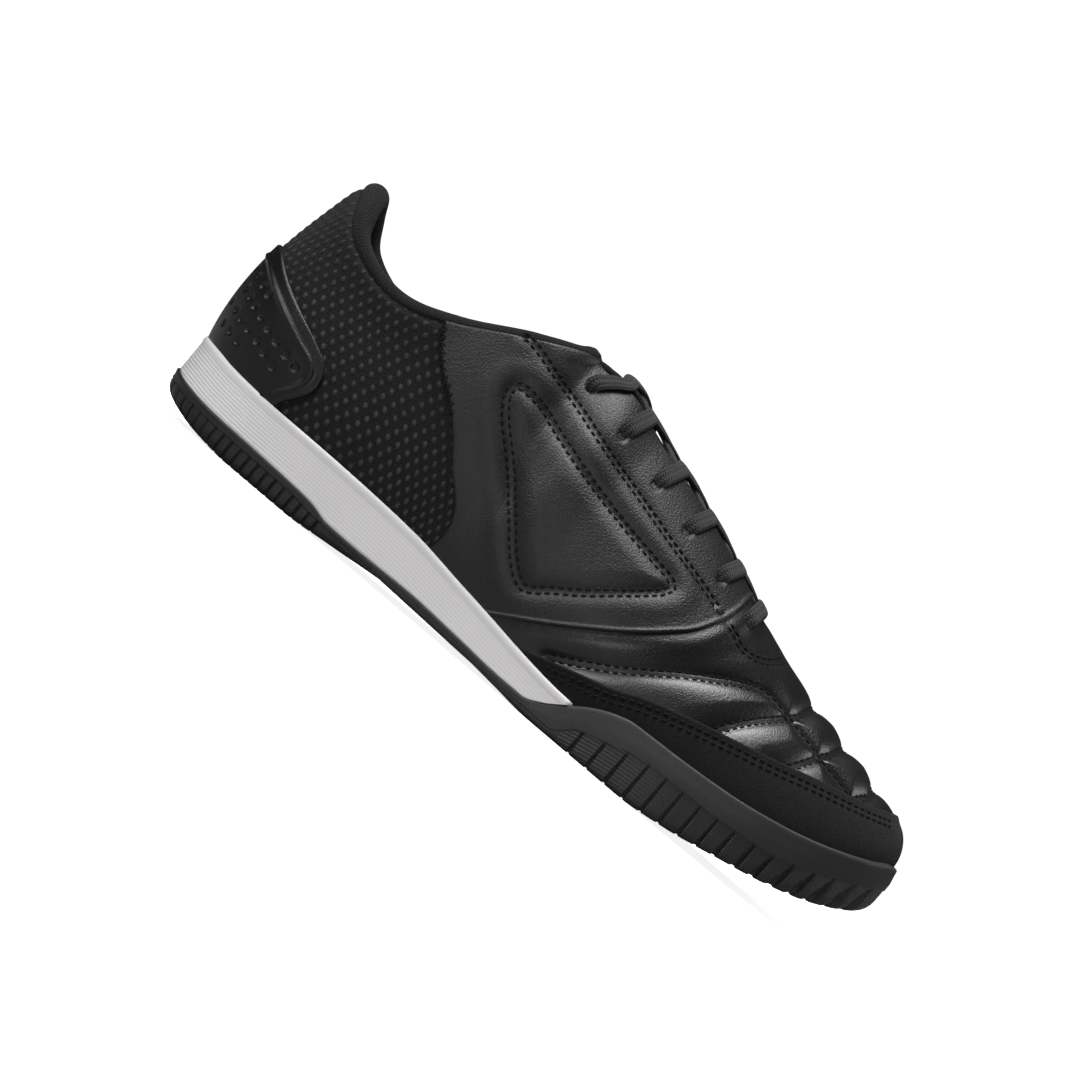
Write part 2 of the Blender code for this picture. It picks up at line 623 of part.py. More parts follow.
def make_upper():
    """The hollow shell: rows of points run from the feather line to the collar, the throat or the ridge."""
    around = np.concatenate([upper_stations(), 2 - upper_stations()[-2:0:-1]])
    low = np.linspace(0, 0.62, UPPER_ROWS - 3)
    columns = []
    for q in around:
        top = v_at_throat(q)
        columns.append(form(q, np.concatenate([low, np.linspace(low[-1], top, 4)[1:]])))
    obj = sheet("upper", columns, UPPER_WALL, False, "black_leather", closed_rows=True)
    return obj


def overlay(name, stations, low, high, rows, thickness, finish, gap=OVERLAY_GAP):
    """A thin panel on the upper: low and high give v at each place round the shoe. Its rows lie closer
    together at the top, where the form turns over the foot."""
    columns = []
    for q in stations:
        bottom, top = low(q), high(q)
        vs = bottom + (top - bottom) * np.linspace(0, 1, rows) ** 0.8
        columns.append(lifted(np.full(rows, q), vs, np.full(rows, gap)))
    return sheet(name, columns, thickness, True, finish)


def run_of(first, last):
    """The upper's own stations from one place round the shoe to another, with both ends."""
    step = 1.0 / STATIONS
    inside = np.arange(np.ceil((first + 0.3 * step) / step), np.floor((last - 0.3 * step) / step) + 1) * step
    return [first, *inside, last]


def u_at_foot(x):
    us = np.linspace(0, 1, 2001)
    return float(us[np.argmax(rail("foot", us) >= x)])


def held_between(q, inside, top=1.0):
    """The part of a station's curve, above the sole's edge, for which inside(points) is true."""
    points = form(q, FINE)
    held = np.nonzero(inside(points) & (FINE >= v_at_sole_edge(q)) & (FINE <= top))[0]
    return (FINE[held[0]], FINE[held[-1]]) if len(held) > 4 else None


def held_run(bounds, first, last):
    """The stations of a panel: its two end places, found closely, the upper's own stations in between, and
    more where its edges run steeply across them."""
    places = [q for q in np.linspace(first, last, 260) if bounds(q)]
    stations = run_of(places[0], places[-1])
    for _ in range(2):
        stations = [q for q in stations if bounds(q)]
        spans = [np.array(bounds(q)) for q in stations]
        steep = [np.abs(b - a).max() > 0.18 for a, b in zip(spans, spans[1:])]
        between = [(a + b) / 2 for a, b, add in zip(stations, stations[1:], steep) if add]
        stations = sorted([*stations, *between])
    return stations


def make_heel_counter():
    """Moulded cup round the heel, with a slanted front edge."""
    top = edge_curve(COUNTER_TOP)
    heights = np.array([row[1] for row in COUNTER_FRONT]) * INSTEP_HEIGHT
    reach = np.array([row[0] for row in COUNTER_FRONT]) * LENGTH

    def bounds(q):
        return held_between(q, lambda p: (p[:, 2] < top(p[:, 0])) & (p[:, 0] < np.interp(p[:, 2], heights, reach)))

    end = u_at_foot(0.185 * LENGTH)
    stations = held_run(bounds, -end, end)
    return overlay(
        "heel_counter", stations, lambda q: bounds(q)[0], lambda q: bounds(q)[1], 6, COUNTER_THICKNESS, "black_plastic"
    )


def make_toe_overlay():
    """Suede band round the toe, rising from the ball on both sides."""
    edge = edge_curve(TOE_OVERLAY_TOP)

    def bounds(q):
        return held_between(q, lambda p: p[:, 2] < edge(p[:, 0]))

    start = u_at_foot(0.500 * LENGTH)
    stations = held_run(bounds, start, 2 - start)
    return overlay(
        "toe_overlay", stations, lambda q: bounds(q)[0], lambda q: bounds(q)[1], 5, OVERLAY_THICKNESS, "black_suede"
    )


def make_quarter(side):
    """Smooth leather side panel from the mesh heel to the vamp, up to the throat, where it holds eyelets."""
    name = "quarter_outer" if side < 0 else "quarter_inner"
    rear_z = np.array([row[1] for row in QUARTER_REAR[::-1]]) * INSTEP_HEIGHT
    rear_x = np.array([row[0] for row in QUARTER_REAR[::-1]]) * LENGTH
    front_z = np.array([row[1] for row in QUARTER_FRONT]) * INSTEP_HEIGHT
    front_x = np.array([row[0] for row in QUARTER_FRONT]) * LENGTH

    def inside(p):
        behind = p[:, 0] > np.interp(p[:, 2], rear_z, rear_x)
        return behind & (p[:, 0] < np.interp(p[:, 2], front_z, front_x))

    def bounds(q):
        return held_between(q, inside, walk(q, v_at_throat(q), 3 * GAP))

    first, last = u_at_foot(0.20 * LENGTH), u_at_foot(0.70 * LENGTH)
    stations = held_run(bounds, *((first, last) if side < 0 else (2 - last, 2 - first)))
    return overlay(
        name, stations, lambda q: bounds(q)[0], lambda q: bounds(q)[1], 9, OVERLAY_THICKNESS, "black_leather",
        OVERLAY_GAP + 0.5 * GAP,
    )


# The collar's padded roll, as steps out from the upper's outer face and up from its top edge, in shares of
# the COLLAR_PAD
ROLL_ROWS = [(0.04, 0.10), (0.14, 0.32), (0.06, 0.58), (-0.34, 0.80), (-0.84, 0.82), (-1.28, 0.58), (-1.44, 0.10)]


def collar_section(q):
    """Section of the collar: the padded roll over the upper's edge, and the pad down its inside."""
    edge, out = form(q, 1.0), outward(q, 0.995)
    ahead, behind = form(q + 0.004, 1.0), form(q - 0.004, 1.0)
    along = (ahead - behind) / np.linalg.norm(ahead - behind)
    up = np.cross(out, along)
    up = up * np.sign(up[2])
    roll = [edge + out * a * COLLAR_PAD + up * b * COLLAR_PAD for a, b in ROLL_ROWS]
    inner = []
    shell = -(UPPER_WALL + 3 * GAP)
    for share, pad in ((0.30, 0.98), (0.62, 0.72), (1.0, 0.22)):
        v = walk(q, 1.0, share * COLLAR_DEPTH)
        inner.append(lifted(q, v, shell - pad * COLLAR_PAD))
    outer = [lifted(q, walk(q, 1.0, share * COLLAR_DEPTH), shell) for share in (1.0, 0.62, 0.30, 0.08)]
    above = edge + out * shell + up * GAP * 1.5
    return roll + inner + outer + [above]


def make_collar():
    last = u_at_top(0.354 * LENGTH)
    rings = [collar_section(q) for q in run_of(-last, last)]
    return loft("collar_lining", rings, "charcoal_lining", capped=True)


# How far the tongue reaches under the upper beside the throat, by place along the shoe
TUCK_PLACES = np.array([0.40, 0.47, 0.72, 0.74])
TUCK_DEPTHS = [0.000, 0.010, 0.010, 0.014]


def make_tongue():
    """Padded tongue under the throat. Its outer face follows the inside of the upper."""
    first, last = u_at_top(0.402 * LENGTH), u_at_top(0.752 * LENGTH)
    columns = []
    for u in run_of(first, last):
        tuck = np.interp(rail("top", u), TUCK_PLACES * LENGTH, TUCK_DEPTHS)
        low = walk(u, v_at_throat(u), tuck), walk(2 - u, v_at_throat(2 - u), tuck)
        depth = UPPER_WALL + 3 * GAP + np.interp(rail("top", u), [0.40 * LENGTH, 0.46 * LENGTH], [2 * GAP, 0])
        outer = lifted(np.full(5, u), np.linspace(low[0], 1, 5), np.full(5, -depth))
        inner = lifted(np.full(5, 2 - u), np.linspace(low[1], 1, 5), np.full(5, -depth))
        columns.append(np.concatenate([outer, inner[-2::-1]]))
    columns = extend_tongue(np.array(columns))
    return sheet("tongue", columns, TONGUE_THICKNESS, False, "charcoal_lining")


TONGUE_TIP = 0.0125


def extend_tongue(columns):
    """Adds the tongue's free tip past the collar, narrowing to a round end."""
    start, second = columns[0], columns[1]
    middle = start.shape[0] // 2
    heading = start[middle] - second[middle]
    heading = heading / np.linalg.norm(heading)
    tip = []
    for share, narrow in ((1.0, 0.42), (0.72, 0.62), (0.36, 0.80)):
        centre = start[middle] + heading * TONGUE_TIP * share + Vector((0, 0, 0.0030 * share))
        tip.append(centre + (start - start[middle]) * narrow)
    return np.concatenate([np.array(tip), columns])


def eyelet_place(side, index):
    """Place round the shoe and v of an eyelet."""
    u = u_at_top(EYELET_PLACES[index] * LENGTH)
    q = u if side < 0 else 2 - u
    return q, walk(q, v_at_throat(q), EYELET_INSET * (1.0 if index < 4 else 0.82))


def eyelet_cutter():
    """All eyelet holes as one mesh of cylinders along the upper's normals."""
    body = bmesh.new()
    for side in (-1, 1):
        for index in range(EYELET_COUNT):
            q, v = eyelet_place(side, index)
            centre, out = form(q, v), Vector(outward(q, v))
            turn = Vector((0, 0, 1)).rotation_difference(out).to_matrix().to_4x4()
            bmesh.ops.create_cone(
                body, cap_ends=True, segments=8, radius1=EYELET_RADIUS, radius2=EYELET_RADIUS,
                depth=4 * UPPER_WALL, matrix=Matrix.Translation(Vector(centre)) @ turn,
            )
    mesh = bpy.data.meshes.new("eyelet_holes")
    body.to_mesh(mesh)
    body.free()
    cutter = bpy.data.objects.new("eyelet_holes", mesh)
    cutter.hide_render = True
    cutter.display_type = "WIRE"
    CUTTERS.objects.link(cutter)
    return cutter


def cut(obj, cutter):
    hole = obj.modifiers.new("eyelets", "BOOLEAN")
    hole.object = cutter
    hole.operation = "DIFFERENCE"
    hole.solver = "EXACT"


LACE_STEPS = 11


def lace_path(index, side, straight=False):
    """Centre line and normals of one lace run, from its eyelet over the eyestay and across the throat to the
    edge of the other eyestay, one eyelet nearer the toe."""
    q_start, v_start = eyelet_place(side, index)
    q_end, v_end = eyelet_place(-side, index if straight else index + 1)
    u_start, u_end = split(q_start)[0], split(q_end)[0]
    stop = v_end if straight else v_under_lace(q_end)
    over = OVERLAY_GAP + OVERLAY_THICKNESS + 1.5 * LACE_GAP + 0.5 * LACE_THICKNESS
    if straight:
        over = LACE_GAP + 0.5 * LACE_THICKNESS
    under = over if straight else -(UPPER_WALL + 3 * GAP) + LACE_GAP + 0.5 * LACE_THICKNESS
    points, normals = [], []
    for t in np.linspace(0, 1, LACE_STEPS):
        u = u_start + (u_end - u_start) * t
        near = t < 0.5
        v = v_start + (1 - v_start) * 2 * t if near else 1 - (1 - stop) * (2 * t - 1)
        q = u if (side < 0) == near else 2 - u
        fade = np.clip((t - 0.42) / 0.42, 0, 1)
        lift = over + (under - over) * fade * fade * (3 - 2 * fade)
        points.append(lifted(q, min(v, 0.9995), lift))
        normals.append(outward(q, min(v, 0.99)))
    return np.array(points), np.array(normals)


def v_under_lace(q):
    """Where a lace run that dives under the far eyestay is out of sight: just clear of the throat's edge."""
    half = np.linalg.norm(form(q, 1.0) - form(q, v_at_throat(q)))
    return walk(q, 1.0, half - 0.5 * LACE_WIDTH - 2 * LACE_GAP)


def ribbon_rings(points, normals):
    """Rectangular rings along a path, flat on the normals."""
    rings = []
    tangents = np.gradient(points, axis=0)
    for point, normal, tangent in zip(points, normals, tangents):
        wide = np.cross(tangent, normal)
        wide = wide / np.linalg.norm(wide) * LACE_WIDTH / 2
        thick = np.cross(wide, tangent)
        thick = thick / np.linalg.norm(thick) * LACE_THICKNESS / 2
        rings.append([point + wide + thick, point - wide + thick, point - wide - thick, point + wide - thick])
    return rings


def make_laces():
    """Criss-cross runs between the eyelets. The two runs that cross are joined into one solid."""
    for index in range(EYELET_COUNT - 1):
        under = loft(f"lace_cross_{index + 1}", ribbon_rings(*lace_path(index, 1)), "lace_cord", capped=True)
        over_points, over_normals = lace_path(index, -1)
        hump = np.sin(np.linspace(0, pi, LACE_STEPS))[:, None] ** 4 * 0.6 * LACE_THICKNESS
        over = loft(f"lace_run_{index + 1}", ribbon_rings(over_points + over_normals * hump, over_normals), "lace_cord", capped=True)
        over.hide_render = True
        SHOE.objects.unlink(over)
        CUTTERS.objects.link(over)
        join = under.modifiers.new("crossing", "BOOLEAN")
        join.object = over
        join.operation = "UNION"
        join.solver = "EXACT"
    loft("lace_bar", ribbon_rings(*lace_path(EYELET_COUNT - 1, -1, straight=True)), "lace_cord", capped=True)


def place_on_origin():
    """Moves every mesh so that the origin is on the floor under the middle of the shoe's box."""
    graph = bpy.context.evaluated_depsgraph_get()
    corners = np.array([corner[:] for obj in SHOE.objects for corner in obj.evaluated_get(graph).bound_box])
    middle = (corners.min(axis=0) + corners.max(axis=0)) / 2
    shift = Matrix.Translation((-middle[0], -middle[1], 0))
    for obj in bpy.data.objects:
        obj.data.transform(shift)


clear_scene()
SHOE = collection("indoor_shoe")
CUTTERS = collection("cutters", hidden=True)
make_outsole()
make_midsole()
make_insole()
holes = eyelet_cutter()
cut(make_upper(), holes)
make_toe_overlay()
make_heel_counter()
for shoe_side in (-1, 1):
    cut(make_quarter(shoe_side), holes)
make_collar()
make_tongue()
make_laces()
place_on_origin()
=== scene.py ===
"""One indoor soccer shoe for the right foot, standing on its sole, in black leather, mesh and suede.

The CAD model is the frame: every piece here follows the same last, so that it lies where its solid lies.
Lines drawn on the side of the shoe are given as (x, z) in millimetres, x from the back of the heel and z
from the floor, and are laid on the last from there.
"""

from math import cos, pi, radians, sin

import bmesh
import bpy
import numpy as np
from mathutils import Matrix, Vector
from mathutils.kdtree import KDTree


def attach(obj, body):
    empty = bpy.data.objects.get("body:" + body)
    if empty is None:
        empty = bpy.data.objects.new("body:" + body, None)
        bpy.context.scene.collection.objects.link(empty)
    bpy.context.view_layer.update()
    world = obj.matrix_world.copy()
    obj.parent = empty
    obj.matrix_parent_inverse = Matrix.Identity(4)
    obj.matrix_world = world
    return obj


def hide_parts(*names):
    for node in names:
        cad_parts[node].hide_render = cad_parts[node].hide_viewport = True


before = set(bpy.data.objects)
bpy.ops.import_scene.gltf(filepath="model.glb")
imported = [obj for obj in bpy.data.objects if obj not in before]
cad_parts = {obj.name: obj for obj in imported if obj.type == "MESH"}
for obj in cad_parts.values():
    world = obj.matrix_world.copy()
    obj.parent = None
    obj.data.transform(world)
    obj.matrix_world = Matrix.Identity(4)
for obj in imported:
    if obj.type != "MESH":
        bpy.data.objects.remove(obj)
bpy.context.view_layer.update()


# ---- Outsole -----------------------------------------------------------------------------------------------
# One moulding of dark grey rubber: thin under the heel and arch, and risen into a cup round the forefoot. Its
# ribs and slits are cut by the mould, and it is glued to the midsole and the upper.
LENGTH, HALF_BALL = 0.290, 0.052
LAST_TO_ROW = np.array([-0.144267, 0.000462, 0.0])

# The last, one row for each station from heel to toe: its size upwards, then foot, outer, inner, low_out,
# low_up, top, top_outer, top_inner, top_up, hand, hand_out and hand_up as shares of the sizes below.
LAST_ROWS = [
    (0.0985, 0.017, 0, 0, 0.123, 0.223, 0.041, 0, 0, 1.0, -0.034, 0, -0.244),
    (0.0985, 0.038, 0.365, 0.365, 0.115, 0.203, 0.050, 0.250, 0.250, 0.944, -0.028, 0.096, -0.203),
    (0.0985, 0.093, 0.567, 0.567, 0.096, 0.183, 0.074, 0.430, 0.430, 0.843, -0.014, 0.096, -0.183),
    (0.0985, 0.172, 0.625, 0.615, 0.087, 0.162, 0.138, 0.519, 0.510, 0.770, 0, 0.058, -0.162),
    (0.0985, 0.276, 0.635, 0.558, 0.087, 0.183, 0.228, 0.548, 0.529, 0.832, 0, 0.077, -0.203),
    (0.105, 0.334, 0.654, 0.519, 0.092, 0.195, 0.303, 0.481, 0.500, 0.895, 0, 0.190, -0.205),
    (0.105, 0.372, 0.673, 0.510, 0.095, 0.200, 0.355, 0.288, 0.423, 0.967, 0, 0.320, -0.150),
    (0.105, 0.406, 0.695, 0.515, 0.115, 0.248, 0.387, -0.077, 0.077, 0.996, 0, 0.560, 0),
    (0.105, 0.483, 0.760, 0.577, 0.106, 0.267, 0.483, -0.096, 0.096, 0.924, 0, 0.580, 0),
    (0.105, 0.569, 0.846, 0.721, 0.087, 0.229, 0.579, -0.115, 0.115, 0.833, 0, 0.595, 0),
    (0.105, 0.662, 0.900, 0.856, 0.067, 0.190, 0.666, -0.135, 0.135, 0.733, 0, 0.600, 0),
    (0.105, 0.759, 0.856, 0.875, 0.077, 0.171, 0.741, -0.150, 0.150, 0.638, 0, 0.577, 0),
    (0.105, 0.848, 0.720, 0.800, 0.096, 0.162, 0.814, -0.163, 0.163, 0.586, 0.014, 0.519, -0.010),
    (0.105, 0.924, 0.455, 0.640, 0.125, 0.162, 0.876, -0.173, 0.173, 0.545, 0.038, 0.404, -0.025),
    (0.105, 0.961, 0.170, 0.440, 0.144, 0.171, 0.876, -0.173, 0.173, 0.545, 0.069, 0.250, -0.044),
    (0.105, 0.971, -0.154, 0.154, 0.144, 0.181, 0.876, -0.173, 0.173, 0.545, 0.086, 0, -0.055),
]
LAST_SIZES = {
    "foot": LENGTH, "outer": HALF_BALL, "inner": HALF_BALL, "low_out": HALF_BALL, "low_up": None, "top": LENGTH,
    "top_outer": HALF_BALL, "top_inner": HALF_BALL, "top_up": None, "hand": LENGTH, "hand_out": HALF_BALL,
    "hand_up": None,
}
RIDGE_ROW = 7

# Heights of the sole's lines in millimetres, at places along the shoe
TREAD_LINE = [
    (0, 7.5), (10, 4), (20, 1.6), (30, 0.5), (38, 0), (62, 0), (80, 1.4), (100, 3.3), (112, 4), (130, 2.8),
    (150, 1.2), (165, 0), (203, 0), (220, 1.6), (230, 3.2), (240, 5.1), (250, 6.9), (260, 9.2), (270, 12.2),
    (280, 17), (286, 22.5), (290, 26.5),
]
WALL_LINE = [
    (0, 14), (10, 11.2), (20, 10.1), (40, 9.5), (60, 8.7), (68, 8), (76, 6.2), (90, 6), (110, 6.4), (130, 5.6),
    (150, 4.6), (159, 4.6), (165, 6.9), (172, 11.6), (179, 16.2), (186, 19.3), (192, 20.8), (210, 21.6),
    (230, 23.1), (250, 26.2), (265, 30), (280, 35.4), (286, 38.1), (290, 38.5),
]
BED_LINE = [
    (0, 14), (10, 11.2), (20, 10.1), (40, 9.5), (60, 8.7), (68, 8), (76, 6.2), (90, 6), (110, 6.4), (130, 5.6),
    (150, 4.6), (200, 4.5), (220, 6), (240, 9.2), (260, 13.3), (275, 18.9), (284, 23.9), (290, 27.6),
]
RIM_LINE = [
    (0, 27.5), (10, 26.4), (20, 25), (40, 23.9), (60, 23.65), (80, 23.1), (100, 22), (120, 19.3), (135, 17.3),
    (150, 15.1), (165, 13.5), (173, 13.1), (190, 12.4), (210, 12.4), (230, 13.5), (250, 16.5), (265, 20),
    (275, 24), (284, 28), (290, 29.7),
]
RIB_TOP_LINE = [
    (0, 10.5), (10, 8.6), (20, 7.6), (60, 6.6), (72, 5.4), (90, 4.6), (172, 2.5), (180, 8.2), (189, 10.7),
    (197, 13.2), (204, 14.6), (225, 14.8), (238, 15.7), (252, 17.3), (260, 19.4), (267, 21.9), (279, 26.5), (285, 29),
    (290, 31),
]
OVERHANG = [(0.00, 2.86), (0.20, 3.36), (0.45, 3.78), (0.62, 4.41), (0.80, 4.83), (0.90, 5.46), (1.00, 7.22)]
EDGE_INSET = [
    (0.00, 10.9), (0.08, 5.5), (0.16, 2.5), (0.30, 2.1), (0.60, 2.1), (0.75, 2.3), (0.88, 3.8), (0.96, 6.3), (1.00, 8.0),
]
EDGE_RISE = [
    (0.00, 10.1), (0.08, 5.9), (0.16, 2.9), (0.30, 2.5), (0.60, 2.5), (0.75, 2.9), (0.88, 4.2), (0.96, 6.7), (1.00, 8.4),
]
TOE_SLITS = [
    181.7, 189.2, 196.7, 204.2, 211.3, 218.0, 225.0, 231.7, 238.3, 245.8, 252.5, 259.6, 266.3, 272.5, 278.8, 284.2,
]
HEEL_SLITS = [5.5 + 3.75 * number for number in range(19)]


def cubic(places, values, slopes, at):
    """The cubic curve through the values, with those slopes."""
    at = np.clip(at, places[0], places[-1])
    i = np.clip(np.searchsorted(places, at, "right") - 1, 0, len(places) - 2)
    span = places[i + 1] - places[i]
    t = (at - places[i]) / span
    rise = (2 * t**3 - 3 * t**2 + 1) * values[i] + (3 * t**2 - 2 * t**3) * values[i + 1]
    return rise + ((t**3 - 2 * t**2 + t) * slopes[i] + (t**3 - t**2) * slopes[i + 1]) * span


def line_through(rows, unit=0.001, along=0.001):
    """A function for a line through rows of (place, millimetres), which never swings past them."""
    places, values = np.array(rows, float).T * np.array([[along], [unit]])
    steps = np.diff(values) / np.diff(places)
    slopes = np.zeros(len(values))
    same = steps[:-1] * steps[1:] > 0
    slopes[1:-1] = np.where(same, 2 * steps[:-1] * steps[1:] / np.where(same, steps[:-1] + steps[1:], 1), 0)
    slopes[0], slopes[-1] = steps[0], steps[-1]
    return lambda at: cubic(places, values, slopes, np.asarray(at, float))


tread_height, wall_height, bed_height = line_through(TREAD_LINE), line_through(WALL_LINE), line_through(BED_LINE)
rim_height, rib_top_height = line_through(RIM_LINE), line_through(RIB_TOP_LINE)
overhang = line_through(OVERHANG, along=1)
edge_inset, edge_rise = line_through(EDGE_INSET, along=1), line_through(EDGE_RISE, along=1)


def last_rails():
    """Place of each station by its share of the way from heel to toe, and each column in metres with slopes."""
    table = np.array(LAST_ROWS, float)
    columns = {}
    for number, (name, size) in enumerate(LAST_SIZES.items(), start=1):
        columns[name] = table[:, number] * (table[:, 0] if size is None else size)
    outer, inner = (np.stack([columns["foot"], columns[name]], 1) for name in ("outer", "inner"))
    steps = sum(np.linalg.norm(np.diff(line, axis=0), axis=1) for line in (outer, inner))
    places = np.concatenate([[0], np.cumsum(steps)]) / steps.sum()
    rails = {}
    for name, values in columns.items():
        slopes = np.gradient(values, places)
        if name in ("top_outer", "top_inner"):
            slopes[RIDGE_ROW:] = np.gradient(values[RIDGE_ROW:], places[RIDGE_ROW:])
        if name not in ("outer", "inner", "top_outer", "top_inner", "hand_out"):
            slopes[0] = slopes[-1] = 0
        rails[name] = (values, slopes)
    return places, rails


STATION_PLACES, RAILS = last_rails()


def rail(name, u):
    return cubic(STATION_PLACES, *RAILS[name], u)


def share_between(low, high, value):
    """0 at low, 1 at high, and smooth between them."""
    t = np.clip((value - low) / (high - low), 0, 1)
    return t * t * (3 - 2 * t)


def split(q):
    """q runs round the shoe: 0 is the heel's back, 0 to 1 the outer side, 1 the toe and 1 to 2 the inner side."""
    q = np.mod(np.asarray(q, float), 2.0)
    return np.where(q <= 1, q, 2 - q), np.where(q <= 1, -1.0, 1.0)


def feather(q):
    """Plan of the feather line, where upper and sole meet, and the direction out of the shoe."""
    u, sign = split(q)
    ahead, behind = np.minimum(u + 1e-4, 1), np.maximum(u - 1e-4, 0)
    half = np.where(sign < 0, rail("outer", u), rail("inner", u))
    outer = rail("outer", ahead) - rail("outer", behind)
    run = sign * np.where(sign < 0, outer, rail("inner", ahead) - rail("inner", behind))
    along = rail("foot", ahead) - rail("foot", behind)
    length = np.hypot(along, run)
    return np.stack([rail("foot", u), sign * half], -1), np.stack([-sign * run / length, sign * along / length], -1)


def feather_height(x):
    return rim_height(x) - 0.0020 * np.clip((0.16675 - np.asarray(x)) / 0.0203, 0, 1) + 0.0003


def plain_form(q, v):
    u, sign = split(q)
    plan, out = feather(q)
    base = np.concatenate([plan, feather_height(plan[..., 0])[..., None]], -1)
    low = base + np.stack([out[..., 0] * rail("low_out", u), out[..., 1] * rail("low_out", u), rail("low_up", u)], -1)
    half = np.where(sign < 0, rail("top_outer", u), rail("top_inner", u))
    top = np.stack([rail("top", u), sign * half, rail("top_up", u)], -1)
    hand = top + np.stack([rail("hand", u), sign * rail("hand_out", u), rail("hand_up", u)], -1)
    v = v[..., None]
    return (1 - v) ** 3 * base + 3 * v * (1 - v) ** 2 * low + 3 * v**2 * (1 - v) * hand + v**3 * top


def form(q, v):
    """A point of the last: v runs from the feather line, 0, to the top line, 1. The corner where the collar turns
    into the throat is eased below the top line."""
    q, v = np.broadcast_arrays(np.asarray(q, float), np.asarray(v, float))
    points = plain_form(q, v)
    from_corner = np.abs(split(q)[0] - STATION_PLACES[RIDGE_ROW])
    near = (from_corner < 0.075) & (v > 0.2) & (v < 0.99)
    if near.any():
        ease = 0.022 * (1 - share_between(0.0, 0.075, from_corner[near])) * share_between(0.2, 0.5, v[near])
        ease *= 1 - share_between(0.90, 0.99, v[near])
        weights = zip(np.array([1, 4, 6, 4, 1]) / 16, (-1.6, -0.8, 0, 0.8, 1.6))
        points[near] = sum(weight * plain_form(q[near] + step * ease, v[near]) for weight, step in weights)
    return points


def unit(vectors):
    return vectors / np.maximum(np.linalg.norm(vectors, axis=-1, keepdims=True), 1e-12)


def outward(q, v):
    """The last's normal, pointing out of the shoe."""
    v = np.clip(v, 1e-3, 1 - 1e-3)
    round_shoe = form(np.asarray(q) + 1e-3, v) - form(np.asarray(q) - 1e-3, v)
    return unit(np.cross(round_shoe, form(q, v + 1e-3) - form(q, v - 1e-3)))


def lifted(q, v, lift):
    return form(q, v) + outward(q, v) * np.asarray(lift)[..., None]


def offset_plan(q, distance):
    plan, out = feather(q)
    return plan + out * np.asarray(distance)[..., None]


def at_height(plan, height):
    return np.concatenate([plan, np.broadcast_to(height, plan.shape[:-1])[..., None]], -1)


def grid(points, uv=None, finish=0, closed=False, core=None):
    """One part of a mesh: sheets of points, with their texture places in millimetres and finish number. core
    is what its faces look away from."""
    points = np.asarray(points)
    if points.ndim == 3:
        points = points[None]
    if uv is None:
        uv = np.zeros((*points.shape[:-1], 2))
    uv = np.broadcast_to(uv, (*points.shape[:-1], 2))
    return points, uv, finish, closed, core


def make_piece(name, parts, finishes, weld=0.0):
    """Joins the parts into one mesh object that rides on the shoe's body."""
    places, corners, textures, slots = [], [], [], []
    count = 0
    for points, uv, finish, closed, core in parts:
        sheets, rows, columns = points.shape[:3]
        index = np.arange(sheets * rows * columns).reshape(sheets, rows, columns)
        if closed:
            index = np.concatenate([index, index[..., :1]], 2)
        quads = np.stack([index[:, :-1, :-1], index[:, 1:, :-1], index[:, 1:, 1:], index[:, :-1, 1:]], -1)
        quads = quads.reshape(-1, 4)
        flat = points.reshape(-1, 3)
        across = np.cross(flat[quads[:, 2]] - flat[quads[:, 0]], flat[quads[:, 3]] - flat[quads[:, 1]])
        middle = flat[quads].mean(1)
        if core is None:
            centre = np.stack([np.clip(middle[:, 0], 0.035, 0.240), 0 * middle[:, 1], 0 * middle[:, 2] + 0.040], 1)
        else:
            centre = np.broadcast_to(core, points.shape).reshape(-1, 3)[quads].mean(1)
        if (across * (middle - centre)).sum() < 0:
            quads = quads[:, ::-1]
        places.append(flat)
        textures.append(uv.reshape(-1, 2))
        corners.append(quads + count)
        slots.append(np.full(len(quads), finish))
        count += len(flat)
    places, textures, corners = np.concatenate(places), np.concatenate(textures), np.concatenate(corners)
    mesh = bpy.data.meshes.new(name)
    mesh.vertices.add(count)
    mesh.vertices.foreach_set("co", (places + LAST_TO_ROW).ravel())
    mesh.loops.add(corners.size)
    mesh.loops.foreach_set("vertex_index", corners.ravel())
    mesh.polygons.add(len(corners))
    mesh.polygons.foreach_set("loop_start", np.arange(0, corners.size, 4))
    mesh.polygons.foreach_set("material_index", np.concatenate(slots))
    mesh.update(calc_edges=True)
    layer = mesh.uv_layers.new(name="millimetres")
    layer.data.foreach_set("uv", textures[corners.ravel()].ravel())
    mesh.validate()
    if weld:
        body = bmesh.new()
        body.from_mesh(mesh)
        bmesh.ops.remove_doubles(body, verts=body.verts, dist=weld)
        body.to_mesh(mesh)
        body.free()
    for finish in finishes:
        mesh.materials.append(finish)
    mesh.shade_smooth()
    obj = bpy.data.objects.new(name, mesh)
    bpy.context.scene.collection.objects.link(obj)
    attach(obj, "root")
    return obj


def new_finish(name, colour, roughness, **sockets):
    """A material with its Principled BSDF, ready for the nodes of its own surface."""
    material = bpy.data.materials.new(name)
    material.use_nodes = True
    shader = material.node_tree.nodes["Principled BSDF"]
    shader.inputs["Base Color"].default_value = (*colour, 1)
    shader.inputs["Roughness"].default_value = roughness
    for socket, value in sockets.items():
        shader.inputs[socket.replace("_", " ")].default_value = value
    return material, material.node_tree, shader


def add(tree, kind, *links, operation=None, **values):
    """Adds a node. links feed its inputs in order, None leaves one as it is, and values set sockets by name."""
    node = tree.nodes.new(kind)
    if operation:
        node.operation = operation
    for number, link in enumerate(links):
        if isinstance(link, bpy.types.NodeSocket):
            tree.links.new(link, node.inputs[number])
        elif link is not None:
            node.inputs[number].default_value = link
    for socket, value in values.items():
        node.inputs[socket.replace("_", " ")].default_value = value
    return node


def maths(tree, operation, *inputs):
    return add(tree, "ShaderNodeMath", *inputs, operation=operation).outputs[0]


